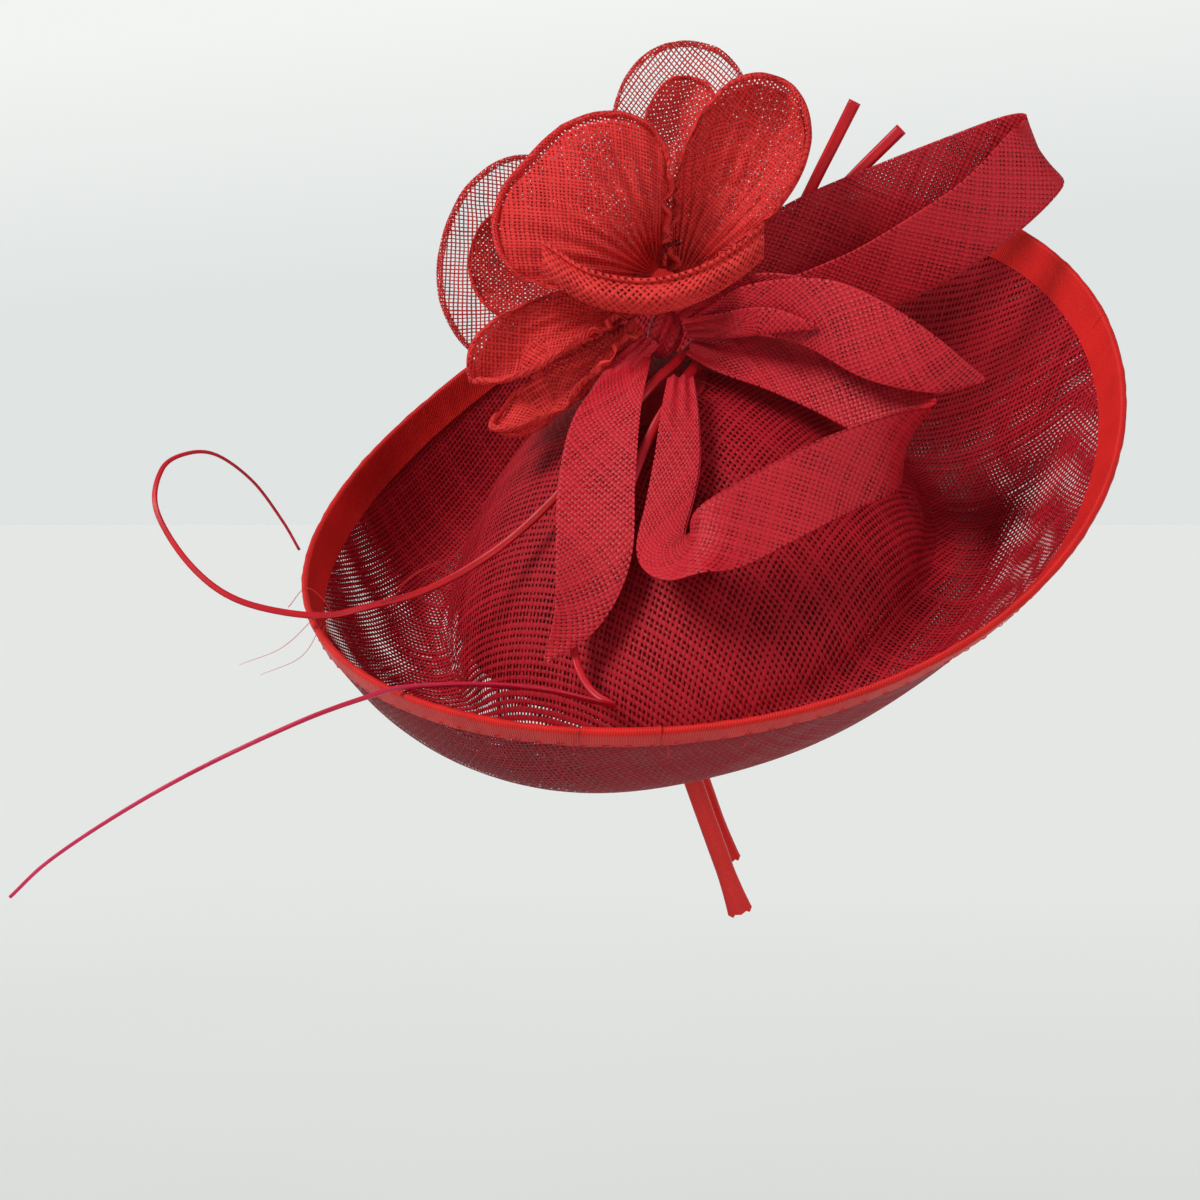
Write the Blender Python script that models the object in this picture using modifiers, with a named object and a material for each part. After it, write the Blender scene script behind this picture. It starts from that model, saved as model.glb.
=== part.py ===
"""Saucer fascinator headpiece: a two-layer open-weave saucer with a raised crown,
a bound and wired edge, a sprung headband, and a trim of loops, tails, petals and quills.

Frame: +X is the way the wearer faces, +Y the wearer's left, +Z up.
The origin is the inner top of the headband, where the head carries it.
Lengths are in millimetres here, and become metres as each object is made.
"""
import math

import bmesh
import bpy
import numpy as np
from mathutils import Vector

MM = 0.001
GAP = 0.3                  # clearance between pieces that touch

# ---- headband --------------------------------------------------------------
BAND_PITCH = 19.5          # the band's plane leans back at the top, degrees
BAND_R = 75.0              # inner radius over the top of the head
BAND_DROP = 146.0          # inner top to leg tips
BAND_TIP_IN = 15.0         # how far each leg closes in below its widest
BAND_W = 6.6
COVER_T = 0.5
CORE_W = 4.6
CORE_T = 1.2
BAND_T = CORE_T + 2 * (GAP + COVER_T)
CORE_SHORT = 9.0           # the core stops this far above the cover's tip
LEG_SPLIT = 62.0           # arc angle from the top where a leg starts to flex
LEG_GAP = 0.4              # half the clearance there, degrees
TIP_FLARE = 0.38

# ---- saucer ----------------------------------------------------------------
HAT_TILT = 30.2            # the saucer tips to the wearer's right round the band, degrees
HAT_CENTRE = (41.4, -49.0, 7.8)   # rim circle's centre in the band's own frame
RIM_R = 150.0
RIM_WAVE = 9.9             # height of the rim's two-fold wave
RIM_WAVE_AT = 36.8         # direction of its high side, degrees
WAVE_FROM_R = 95.0
CUT_BACK = 1.9             # the sheet's cut edge stops this far short of the rim
LAYER_T = 0.6              # one layer of stiffened sinamay
LAYER_STEP = LAYER_T + 0.4  # from the top layer's middle to the under layer's
AROUND = 48

# brim section from the rim inwards: radius, height, forward shift of the centre
BRIM = (
    (150.0, 0.0, 0.0),
    (144.5, -9.0, -4.5),
    (137.0, -19.0, -9.5),
    (128.5, -31.0, -14.0),
    (119.0, -41.5, -17.5),
    (109.0, -48.0, -19.5),
    (99.0, -49.5, -20.0),
    (92.0, -46.5, -20.0),
)
CROWN_R = 90.0
CROWN_FOOT = -42.0
CROWN_TOP = 24.0
CROWN_FORWARD = (-20.0, 10.0)     # centre at the foot, and its run to the top
CROWN_LEFT = 30.0
CROWN_STEPS = (0.04, 0.14, 0.26, 0.40, 0.54, 0.68, 0.80, 0.90, 0.97, 1.0)
PAD_T = 1.4
PAD_APEX = (-20.0, 0.0, -15.4)
PAD_IN = 3.0
TRIM_BASE_STEPS = (0.93, 0.955, 0.98, 1.0)
TRIM_BASE_T = 1.2
TRIM_BASE_LIFT = 1.35

# ---- edge ------------------------------------------------------------------
WIRE_R = 0.7
BIND_T = 0.5
BIND_DEPTHS = (12.0, 8.0, 3.0)    # rows of the binding's flat part below the rim
BIND_FOLD = 0.4            # the fold's centre stands this far beyond the rim

# ---- trim ------------------------------------------------------------------
TRIM_AT = (20.0, -27.0, 80.0)     # the flower's heart, in the row frame
SHEET_T = 0.6
RIBBON_W = 27.0
QUILL_ROOT_R = 2.0
QUILL_TIP_R = 0.65
KNOT_AT = (2.0, -12.0, 5.5)
KNOT_AXIS = (0.25, 0.95, -0.15)
KNOT_RADII = (6.0, 9.5)
HEART_AT = (1.0, 3.5, 2.0)
HEART_AXIS = (0.1, 1.0, 0.2)
HEART_RADII = (4.6, 5.0)

# Ribbon stations in the trim frame: forward, up, out, width, then its width's direction.
LOOP_LOWER = (
    (11.5, -15, 13, 10, 0.2, 0.85, -0.4),
    (26, -19, 19, 18, 0.2, 0.8, -0.55),
    (46, -24, 24, 22, 0.25, 0.83, -0.5),
    (67, -31, 32, 26, 0.3, 0.85, -0.35),
    (83, -39, 42, 27, 0.4, 0.87, -0.2),
    (88, -46, 53, 27, 0.45, 0.85, -0.15),
    (79, -52, 64, 27, 0.45, 0.85, -0.2),
    (58, -60, 73, 27, 0.45, 0.85, -0.25),
    (36, -71, 79, 27, 0.45, 0.85, -0.3),
    (17, -81, 83, 26, 0.52, 0.78, -0.3),
    (6.5, -86.5, 80, 22, 0.66, 0.65, -0.25),
    (0, -83.5, 71, 18, 0.8, 0.5, -0.1),
    (3, -70, 58, 17, 0.92, 0.25, 0.1),
    (6, -55, 48, 16, 1, 0.1, 0.05),
    (7, -39, 37, 13, 1, 0, 0),
    (7.5, -27, 26, 9, 1, 0, 0),
)
LOOP_UPPER = (
    (10, 0.5, -9, 8, -0.3, 0.9, 0.1),
    (28, 12, -16, 18, -0.35, 0.9, 0.1),
    (55, 24, -18, 26, -0.4, 0.88, 0.15),
    (84, 36, -15, 27, -0.42, 0.88, 0.15),
    (112, 47, -10, 27, -0.46, 0.86, 0.12),
    (130, 53, -4, 28, -0.5, 0.85, 0.1),
    (137, 53, 2, 28, -0.53, 0.84, 0.08),
    (131, 45, 8, 28, -0.55, 0.83, 0.1),
    (117, 32, 11, 27, -0.5, 0.85, 0.15),
    (98, 19, 10, 27, -0.45, 0.87, 0.2),
    (76, 7, 7, 25, -0.35, 0.9, 0.25),
    (52, -1, 3, 20, -0.2, 0.95, 0.2),
    (30, -6, 0, 12, -0.1, 0.95, 0.2),
    (13, -9, -1, 7, 0, 1, 0.1),
)
TAIL_FORWARD = (
    (10.5, -10.5, 13.5, 6, -0.3, 0.9, 0.3),
    (21, -6.5, 21, 11, -0.2, 0.92, 0.3),
    (34, -2.5, 29, 17, 0.0, 0.93, 0.3),
    (57, -5, 39, 25, 0.25, 0.9, 0.1),
    (77, -15, 48, 26, 0.35, 0.9, 0),
    (97, -23.5, 52, 17, 0.35, 0.9, 0),
    (113, -27.5, 50, 1.6, 0.3, 0.9, 0),
)
TAIL_DOWN = (
    (-5.5, -19.5, 13.0, 9, 0.9, 0.3, 0.2),
    (-11, -26, 22, 15, 0.95, 0.25, 0.2),
    (-19, -42, 36, 24, 1, 0.1, 0.15),
    (-22.5, -64, 52, 27, 1, 0, 0.15),
    (-23.5, -88, 64, 26, 1, -0.05, 0.1),
    (-29, -108, 69, 17, 1, -0.2, 0.05),
    (-40, -124, 71, 1.6, 0.9, -0.4, 0),
)

# Quill routes in the trim frame: forward, up, out.
QUILL_CURLED = (
    (72, 72, -28), (61, 50, -30), (48, 25, -30), (32, 3, -24), (24, -5, -17),
    (17, -11.5, -8.5), (12, -16.5, 1.5), (7, -21, 11.5), (-1, -28, 21),
    (-8, -35.5, 27), (-18, -47, 32), (-35, -67, 36), (-57, -87, 37),
    (-81, -101, 40), (-102, -107, 45), (-121, -110, 50), (-148, -105, 48),
    (-166, -93, 41), (-179, -74, 31), (-178, -60, 20), (-170, -55, 10),
    (-160, -56, 2), (-148, -66, -8), (-138, -81, -17), (-132, -92, -20),
)
QUILL_LONG = (
    (89, 62, -27), (72, 45, -30), (56, 28, -32), (41, 8, -28), (32, -3, -20),
    (26, -8.5, -11.5), (21, -13.5, -3.5), (17, -18, 5), (13, -23, 14),
    (8, -29, 23), (2, -37.5, 32), (-4, -48, 37.5), (-12, -68, 49),
    (-20, -88, 56), (-29, -105, 61), (-31, -115, 64), (-29, -126, 70),
    (-24, -134, 76), (-17, -138, 83), (-22, -136, 90), (-42, -131, 95),
    (-65, -129, 99), (-88, -129.5, 104), (-99, -132, 107), (-122, -140, 111),
    (-156, -156, 110), (-184, -172, 106), (-209, -189, 102), (-223, -202, 100),
)

# ---- finishes: colour, roughness, metallic ----------------------------------
SINAMAY = ((0.42, 0.018, 0.028), 0.6, 0.0)
BINDING = ((0.60, 0.022, 0.022), 0.5, 0.0)
SATIN = ((0.60, 0.025, 0.020), 0.45, 0.0)
PETAL = ((0.62, 0.035, 0.035), 0.6, 0.0)
RIBBON = ((0.48, 0.020, 0.035), 0.55, 0.0)
QUILL = ((0.50, 0.020, 0.040), 0.4, 0.0)
STEEL = ((0.55, 0.55, 0.57), 0.35, 0.9)
CORE = ((0.75, 0.72, 0.70), 0.5, 0.0)

COLLECTION = "fascinator"


# ---- frames ----------------------------------------------------------------
PITCH = math.radians(BAND_PITCH)
TILT = math.radians(HAT_TILT)
LEFT = np.array([0.0, 1.0, 0.0])
FORWARD = np.array([math.cos(PITCH), 0.0, math.sin(PITCH)])
BAND_UP = np.array([-math.sin(PITCH), 0.0, math.cos(PITCH)])
HAT_UP = math.cos(TILT) * BAND_UP - math.sin(TILT) * LEFT
HAT_LEFT = math.cos(TILT) * LEFT + math.sin(TILT) * BAND_UP


def from_band(points):
    """Band frame (forward, left, up the band) to row frame."""
    p = np.asarray(points, float)
    return p[..., 0:1] * FORWARD + p[..., 1:2] * LEFT + p[..., 2:3] * BAND_UP


def from_hat(points):
    """Saucer frame (forward, left, out of the rim's plane) to row frame."""
    p = np.asarray(points, float)
    offset = p[..., 0:1] * FORWARD + p[..., 1:2] * HAT_LEFT + p[..., 2:3] * HAT_UP
    return from_band(HAT_CENTRE) + offset


def from_trim(points):
    """Trim frame (forward, up, out to the wearer's right) to row frame."""
    p = np.asarray(points, float)
    return np.array(TRIM_AT) + np.stack([p[..., 0], -p[..., 2], p[..., 1]], -1)


# ---- paths and sections -----------------------------------------------------
def unit(v):
    v = np.asarray(v, float)
    return v / np.maximum(np.linalg.norm(v, axis=-1, keepdims=True), 1e-12)


def smooth_path(stations, count):
    """Catmull-Rom curve through the stations."""
    p = np.asarray(stations, float)
    ends = (2 * p[0] - p[1], 2 * p[-1] - p[-2])
    p = np.vstack([ends[0], p, ends[1]])
    out = []
    for s in np.linspace(0, len(p) - 3, count):
        i = min(int(s), len(p) - 4)
        f = s - i
        a, b, c, d = p[i:i + 4]
        out.append(b + 0.5 * f * (c - a)
                   + 0.5 * f * f * (2 * a - 5 * b + 4 * c - d)
                   + 0.5 * f ** 3 * (3 * b - a - 3 * c + d))
    return np.array(out)


def even_path(stations, count, fine=400):
    """The same curve, with its samples evenly spaced along its length."""
    curve = smooth_path(stations, fine)
    steps = np.linalg.norm(np.diff(curve[:, :3], axis=0), axis=1)
    run = np.concatenate([[0.0], np.cumsum(steps)])
    wanted = np.linspace(0.0, run[-1], count)
    return np.stack([np.interp(wanted, run, column) for column in curve.T], 1)


def ring(radius, height, forward=0.0, left=0.0, count=AROUND):
    """A circle of points in the saucer frame; height may vary round it."""
    turn = np.linspace(0, 2 * math.pi, count, endpoint=False)
    return np.stack([radius * np.cos(turn) + forward,
                     radius * np.sin(turn) + left,
                     height + np.zeros(count)], 1)


def rim_wave(radius, count=AROUND):
    """Height that the rim's wave adds round a ring of this radius."""
    turn = np.linspace(0, 2 * math.pi, count, endpoint=False)
    share = max(0.0, (radius - WAVE_FROM_R) / (RIM_R - WAVE_FROM_R)) ** 1.5
    return share * RIM_WAVE * np.cos(2 * (turn - math.radians(RIM_WAVE_AT)))


def brim_ring(radius, height, forward):
    return ring(radius, height + rim_wave(radius), forward)


def crown_ring(f, smaller=0.0, count=AROUND):
    """The crown's ring at fraction f of its height, from foot to top."""
    radius = CROWN_R * (1 - f ** 1.5) ** 0.62 - smaller
    height = CROWN_FOOT + (CROWN_TOP - CROWN_FOOT) * f
    forward = CROWN_FORWARD[0] + CROWN_FORWARD[1] * f
    return ring(radius, height, forward, CROWN_LEFT * f, count)


def lifted(rows, distance):
    """Rings that close on a top point, moved out along their surface."""
    around = np.roll(rows, -1, 1) - np.roll(rows, 1, 1)
    normal = unit(np.cross(around, np.gradient(rows, axis=0)))
    normal[-1] = unit(normal[-2].mean(0))
    return rows + normal * distance


# ---- objects -----------------------------------------------------------------
def clear_scene():
    for ob in list(bpy.data.objects):
        bpy.data.objects.remove(ob, do_unlink=True)
    bpy.context.scene.collection.children.link(bpy.data.collections.new(COLLECTION))


def material(name, finish):
    colour, roughness, metallic = finish
    mat = bpy.data.materials.new(name)
    mat.use_nodes = True
    shader = mat.node_tree.nodes["Principled BSDF"]
    shader.inputs["Base Color"].default_value = (*colour, 1.0)
    shader.inputs["Roughness"].default_value = roughness
    shader.inputs["Metallic"].default_value = metallic
    mat.diffuse_color = (*colour, 1.0)
    return mat


def link(name, data, finish):
    data.materials.append(material(name, finish))
    ob = bpy.data.objects.new(name, data)
    bpy.data.collections[COLLECTION].objects.link(ob)
    return ob


def surface(name, rows, thickness, finish, wrap=False, pole=False, even=False):
    """A loft through rows of points in the row frame, thickened both ways.
    wrap joins the ends of each row; pole draws the last row in to one point."""
    rows = np.asarray(rows, float) * MM
    bm = bmesh.new()
    body = rows[:-1] if pole else rows
    verts = [[bm.verts.new(p) for p in row] for row in body]
    if pole:
        verts.append([bm.verts.new(rows[-1].mean(0))] * rows.shape[1])
    columns = rows.shape[1] if wrap else rows.shape[1] - 1
    for low, high in zip(verts, verts[1:]):
        for j in range(columns):
            k = (j + 1) % rows.shape[1]
            corners = [low[j], low[k], high[k], high[j]]
            bm.faces.new(list(dict.fromkeys(corners)))
    mesh = bpy.data.meshes.new(name)
    bm.to_mesh(mesh)
    bm.free()
    mesh.shade_smooth()
    ob = link(name, mesh, finish)
    solidify = ob.modifiers.new("thickness", "SOLIDIFY")
    solidify.thickness = thickness * MM
    solidify.offset = 0.0
    solidify.use_even_offset = even
    return ob


def rod(name, points, radii, finish, cyclic=False):
    """A round rod or wire along points in the row frame, of the given radius at each."""
    curve = bpy.data.curves.new(name, "CURVE")
    curve.dimensions = "3D"
    curve.bevel_depth = MM
    curve.bevel_resolution = 2
    curve.use_fill_caps = not cyclic
    spline = curve.splines.new("POLY")
    spline.points.add(len(points) - 1)
    spline.use_cyclic_u = cyclic
    for knot, place, radius in zip(spline.points, points, radii):
        knot.co = (*(place * MM), 1.0)
        knot.radius = radius
    return link(name, curve, finish)


def ellipsoid(name, centre, radii, axis, finish, segments, rings):
    """A ball in the trim frame with radii (across, along) about its long axis."""
    across, along = radii
    bm = bmesh.new()
    bmesh.ops.create_uvsphere(bm, u_segments=segments, v_segments=rings, radius=MM)
    bmesh.ops.scale(bm, vec=(across, across, along), verts=bm.verts)
    mesh = bpy.data.meshes.new(name)
    bm.to_mesh(mesh)
    bm.free()
    mesh.shade_smooth()
    ob = link(name, mesh, finish)
    direction = from_trim(axis) - from_trim((0, 0, 0))
    ob.location = from_trim(centre) * MM
    ob.rotation_euler = Vector(direction).to_track_quat("Z", "Y").to_euler()
    return ob


# ---- saucer ----------------------------------------------------------------
def saucer_rows():
    """Rings from the cut edge, down the brim and up the crown, in the row frame."""
    rim, second = np.array(BRIM[0]), np.array(BRIM[1])
    cut_edge = rim + (second - rim) * CUT_BACK / np.linalg.norm(second - rim)
    rows = [brim_ring(*station) for station in (cut_edge, *BRIM[1:])]
    rows += [crown_ring(f) for f in CROWN_STEPS]
    return from_hat(rows)


def saucer_layers():
    rows = saucer_rows()
    surface("saucer_top_layer", rows, LAYER_T, SINAMAY, wrap=True, pole=True)
    under = lifted(rows, -LAYER_STEP)
    surface("saucer_under_layer", under, LAYER_T, SINAMAY, wrap=True, pole=True)


def crown_pad():
    """Stiff inner base in the crown, which the headband is tacked to."""
    foot = crown_ring(0.10, smaller=PAD_IN)
    apex = np.array(PAD_APEX)
    rows = [apex + (foot - apex) * (q, q, q * q) for q in (1.0, 0.85, 0.68, 0.5, 0.32, 0.15, 0.0)]
    surface("crown_pad", from_hat(rows), PAD_T, SINAMAY, wrap=True, pole=True)


def trim_base():
    """Small stiff disc on the crown's top, which every trim is sewn to."""
    rows = from_hat([crown_ring(f, count=AROUND // 2) for f in TRIM_BASE_STEPS])
    surface("trim_base", lifted(rows, TRIM_BASE_LIFT), TRIM_BASE_T, SINAMAY, wrap=True, pole=True)


# ---- edge ------------------------------------------------------------------
def rim_line(depth, lift):
    """A closed line this far below the rim along the brim, lifted off its surface."""
    rim, first, second = [from_hat(brim_ring(*station)) for station in BRIM[:3]]
    length = np.linalg.norm(first - rim, axis=1, keepdims=True)
    down, down_next = unit(first - rim), unit(second - first)
    normal = unit(np.cross(np.roll(rim, -1, 0) - np.roll(rim, 1, 0), down))
    normal_next = unit(np.cross(np.roll(first, -1, 0) - np.roll(first, 1, 0), down_next))
    past = depth - length
    share = np.clip(past / 8.0 + 0.5, 0.0, 1.0)
    place = np.where(past <= 0, rim + down * depth, first + down_next * past)
    return place + unit(normal * (1 - share) + normal_next * share) * lift


def edge_height(side):
    """Lift of the binding's middle over the top layer (side 1) or under the lower one (-1)."""
    clear = LAYER_T / 2 + GAP + BIND_T / 2
    return clear if side > 0 else -LAYER_STEP - clear


def brim_wire():
    middle = (edge_height(1) + edge_height(-1)) / 2
    rod("brim_wire", rim_line(-BIND_FOLD / 2, middle), [WIRE_R] * AROUND, STEEL, cyclic=True)


def edge_binding():
    """A strip folded over the wired edge, open at the bottom of both sides."""
    top, bottom = edge_height(1), edge_height(-1)
    middle, radius = (top + bottom) / 2, (top - bottom) / 2
    rows = [rim_line(depth, top) for depth in BIND_DEPTHS]
    for turn in np.linspace(0, math.pi, 5):
        rows.append(rim_line(-BIND_FOLD - radius * math.sin(turn), middle + radius * math.cos(turn)))
    rows += [rim_line(depth, bottom) for depth in reversed(BIND_DEPTHS)]
    surface("edge_binding", rows, BIND_T, BINDING, wrap=True)


# ---- headband --------------------------------------------------------------
def band_point(s, out):
    """Band frame point at arc angle s, or past 90 at that many mm down the leg."""
    side = math.copysign(1.0, s)
    if abs(s) <= 90.0:
        turn, radius = math.radians(s), BAND_R + out
        return (0.0, radius * math.sin(turn), radius * math.cos(turn) - BAND_R)
    down = abs(s) - 90.0
    drop = BAND_DROP - BAND_R
    half = BAND_R - BAND_TIP_IN * (down / drop) ** 1.6
    slope = -BAND_TIP_IN * 1.6 * (down / drop) ** 0.6 / drop
    normal = unit((1.0, slope))
    return (0.0, side * (half + normal[0] * out), -BAND_R - down + normal[1] * out)


def band_path(start, end, count):
    """Middle line of the band between two stations, in the row frame."""
    return from_band([band_point(s, BAND_T / 2) for s in np.linspace(start, end, count)])


def band_core(name, start, end, count):
    half = FORWARD * CORE_W / 2
    rows = [(p - half, p + half) for p in band_path(start, end, count)]
    return surface(name, rows, CORE_T, CORE)


def band_cover(name, start, end, count, flare=0.0):
    """A flat sleeve round the core, open at both ends and flared at its tip."""
    path = band_path(start, end, count)
    outward = unit(np.cross(np.gradient(path, axis=0), FORWARD))
    wide, high = (BAND_W - COVER_T) / 2, (BAND_T - COVER_T) / 2
    corner = 0.35 * high
    octagon = ((-wide, corner - high), (corner - wide, -high), (wide - corner, -high),
               (wide, corner - high), (wide, high - corner), (wide - corner, high),
               (corner - wide, high), (-wide, high - corner))
    rows = []
    for i, (place, up) in enumerate(zip(path, outward)):
        near_tip = max(0.0, i / (count - 1) - 0.82) / 0.18
        spread = 1 + flare * near_tip ** 1.5
        rows.append([place + FORWARD * x * spread + up * y for x, y in octagon])
    return surface(name, rows, COVER_T, SATIN, wrap=True, even=True)


def hang_on_hinge(objects, name, place):
    """Parent the objects to an empty on the hinge's axis, without moving them."""
    empty = bpy.data.objects.new(name, None)
    empty.location = place * MM
    empty.rotation_euler = (0.0, -PITCH, 0.0)
    bpy.data.collections[COLLECTION].objects.link(empty)
    bpy.context.view_layer.update()
    for ob in objects:
        ob.parent = empty
        ob.matrix_parent_inverse = empty.matrix_world.inverted()


def headband():
    """The middle of the band, and a leg each side that flexes at its shoulder."""
    edge, tip = LEG_SPLIT - LEG_GAP, 90.0 + BAND_DROP - BAND_R
    band_core("headband_core", -edge, edge, 25)
    band_cover("headband_cover", -edge, edge, 25)
    shoulder = LEG_SPLIT + LEG_GAP
    for name, side in (("right", -1), ("left", 1)):
        core = band_core(f"headband_core_{name}", side * shoulder, side * (tip - CORE_SHORT), 21)
        cover = band_cover(f"headband_cover_{name}", side * shoulder, side * tip, 23, TIP_FLARE)
        hinge = from_band(band_point(side * LEG_SPLIT, BAND_T / 2))
        hang_on_hinge((core, cover), f"band_flex_{name}", hinge)


# ---- trim ------------------------------------------------------------------
def ribbon(name, stations, count, bow=0.0):
    """A stiff woven strip along its stations, bowed across its width."""
    path = even_path(stations, count)
    place, width = path[:, :3], path[:, 3:4]
    tangent = unit(np.gradient(place, axis=0))
    side = path[:, 4:7]
    side = unit(side - (side * tangent).sum(1, keepdims=True) * tangent)
    normal = np.cross(tangent, side)
    rows = np.stack([place + side * width * c + normal * width * bow * (0.25 - c * c) / RIBBON_W
                     for c in np.linspace(-0.5, 0.5, 5)], 1)
    surface(name, from_trim(rows), SHEET_T, RIBBON)


def petal(name, root, tip, half, face, cup, belly, curl, root_half=3.0):
    """A petal from its pinched root to a rounded tip. Its edges rise by cup, its
    middle by belly, and its tip by curl, towards face."""
    root, tip = np.asarray(root, float), np.asarray(tip, float)
    axis = unit(tip - root)
    normal = np.asarray(face, float)
    normal = unit(normal - normal.dot(axis) * axis)
    side = np.cross(axis, normal)
    widest = 0.62
    rows = []
    for t in np.linspace(0, 1, 10):
        if t < widest:
            width = root_half + (half - root_half) * math.sin(0.5 * math.pi * t / widest) ** 1.1
        else:
            width = half * math.sqrt(1 - (0.93 * (t - widest) / (1 - widest)) ** 2)
        rise = belly * math.sin(math.pi * t) + curl * t ** 3
        edge_rise = cup * math.sin(math.pi * min(1.0, t * 0.8))
        middle = root + (tip - root) * t
        rows.append([middle + side * width * s + normal * (rise + edge_rise * s * s)
                     for s in np.linspace(-1, 1, 9)])
    surface(name, from_trim(rows), SHEET_T, PETAL)


def petal_lip():
    """Lower front petal: a shallow bowl from the heart with its rim turned up in a lip."""
    lip_rise, lip_out, sag_depth, across = 11.0, 4.0, 2.0, 13
    edge = even_path(((-42, 9, 27), (-26, -1, 33), (-6, -4.5, 35), (12, -1, 33), (27, 7, 26), (37, 15, 18)), across)
    s = np.linspace(-1, 1, across)
    start = np.stack([6.0 * s + 1.0, 1.5 * s * s - 0.6, 9.5 - 1.5 * s * s], 1)
    rows = []
    for out in (0.0, 0.3, 0.6, 0.86, 1.0):
        sag = sag_depth * math.sin(math.pi * out ** 0.85)
        rows.append(start + (edge - start) * out - (0, sag, 0))
    for rise in (0.5, 1.0):
        rows.append(edge + (0, lip_rise * rise, lip_out * math.sin(math.pi * rise)))
    surface("petal_lip", from_trim(rows), SHEET_T, PETAL)


def flower():
    petal("petal_back", (3, 11, -6), (12, 91, -32), 26, (0, 0.1, 1), 7, -5, 6)
    petal("petal_right", (8, 8, -1), (46, 77, -12), 22, (-0.25, 0, 1), 9, -4, 5)
    petal("petal_cup", (-1.5, 10, 4), (-43, 52, 15), 35, (0.15, 0.1, 1), -11, 12, -4, 3.5)
    petal("petal_left", (-6, 5.5, -4), (-78, 19, -14), 38, (0.1, 0.05, 1), 7, -4, 5)
    petal("petal_low_upper", (-8, 1, 2), (-67, -29, 6), 13, (0.1, 0.6, 1), 8, 3, 2)
    petal("petal_low_under", (-8.5, -8, 8), (-60, -46, 20), 9, (0.2, 0.9, 0.5), 1, -3, 0)
    petal_lip()
    ellipsoid("flower_heart", HEART_AT, HEART_RADII, HEART_AXIS, PETAL, 12, 6)


def ribbons():
    ribbon("loop_lower", LOOP_LOWER, 48)
    ribbon("loop_upper", LOOP_UPPER, 40)
    ribbon("tail_forward", TAIL_FORWARD, 24, bow=3.0)
    ribbon("tail_down", TAIL_DOWN, 26, bow=-3.0)
    ellipsoid("trim_knot", KNOT_AT, KNOT_RADII, KNOT_AXIS, RIBBON, 14, 8)


def quill(name, route, count):
    """A stripped feather spine, thinning from its cut butt to its tip."""
    along = np.linspace(0, 1, count) ** 0.8
    radii = QUILL_ROOT_R + (QUILL_TIP_R - QUILL_ROOT_R) * along
    rod(name, from_trim(even_path(route, count)), radii, QUILL)


def quills():
    quill("quill_curled", QUILL_CURLED, 76)
    quill("quill_long", QUILL_LONG, 90)


def build():
    clear_scene()
    saucer_layers()
    brim_wire()
    edge_binding()
    crown_pad()
    headband()
    trim_base()
    flower()
    ribbons()
    quills()


build()
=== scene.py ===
"""Looks of the saucer fascinator headpiece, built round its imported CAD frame.

The shapes use the CAD's own driving dimensions and frames: +X is the way the wearer
faces, +Y the wearer's left, +Z up, and the origin is the inner top of the headband.
Lengths are in millimetres, and become metres as each mesh is made.
"""
import math

import bpy
import numpy as np
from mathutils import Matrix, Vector


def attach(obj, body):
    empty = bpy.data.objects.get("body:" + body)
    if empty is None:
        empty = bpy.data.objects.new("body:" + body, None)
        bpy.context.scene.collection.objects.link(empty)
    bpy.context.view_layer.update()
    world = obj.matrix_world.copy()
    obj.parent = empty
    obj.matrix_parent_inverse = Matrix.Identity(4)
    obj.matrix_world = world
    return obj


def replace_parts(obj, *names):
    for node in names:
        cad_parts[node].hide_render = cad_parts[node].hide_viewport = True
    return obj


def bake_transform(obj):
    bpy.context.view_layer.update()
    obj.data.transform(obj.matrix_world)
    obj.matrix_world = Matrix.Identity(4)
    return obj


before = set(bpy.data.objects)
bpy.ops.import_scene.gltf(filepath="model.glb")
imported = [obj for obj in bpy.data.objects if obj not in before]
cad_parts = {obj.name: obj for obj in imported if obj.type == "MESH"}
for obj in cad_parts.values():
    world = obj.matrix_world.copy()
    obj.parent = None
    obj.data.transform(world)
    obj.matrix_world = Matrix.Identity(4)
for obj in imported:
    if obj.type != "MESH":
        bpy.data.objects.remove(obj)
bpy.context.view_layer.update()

MM = 0.001
HEAD = "headpiece"         # the body that everything but the band's legs rides on

# ---- headband ----
BAND_PITCH = 19.5          # the band's plane leans back at the top, degrees
BAND_R = 75.0              # inner radius over the top of the head
BAND_DROP = 146.0          # inner top to leg tips
BAND_TIP_IN = 15.0         # how far each leg closes in below its widest
BAND_W = 6.6
BAND_T = 2.8
LEG_SPLIT = 62.0           # arc angle from the top where a leg flexes, degrees
FLEX_SPAN = 9.0            # the cover bends over this much arc each side of it
TIP_FLARE = 0.38           # how much wider the sleeve is at its tip
FLARE_RUN = 17.7           # over this much of its end

# ---- saucer ----
HAT_TILT = 30.2            # the saucer tips to the wearer's right, degrees
HAT_CENTRE = (41.4, -49.0, 7.8)   # rim circle's centre in the band's own frame
RIM_R = 150.0
RIM_WAVE = 9.9             # height of the rim's two-fold wave
RIM_WAVE_AT = 36.8         # direction of its high side, degrees
WAVE_FROM_R = 95.0
CUT_BACK = 1.9             # the sheet's cut edge stops this far short of the rim
LAYER_STEP = 1.0           # from the top layer to the under layer
AROUND = 288               # points round each ring
OPEN_SIDES = ((-22, 34), (198, 52))   # where both layers' holes line up: direction, reach
OPEN_FROM_R = 92.0

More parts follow.
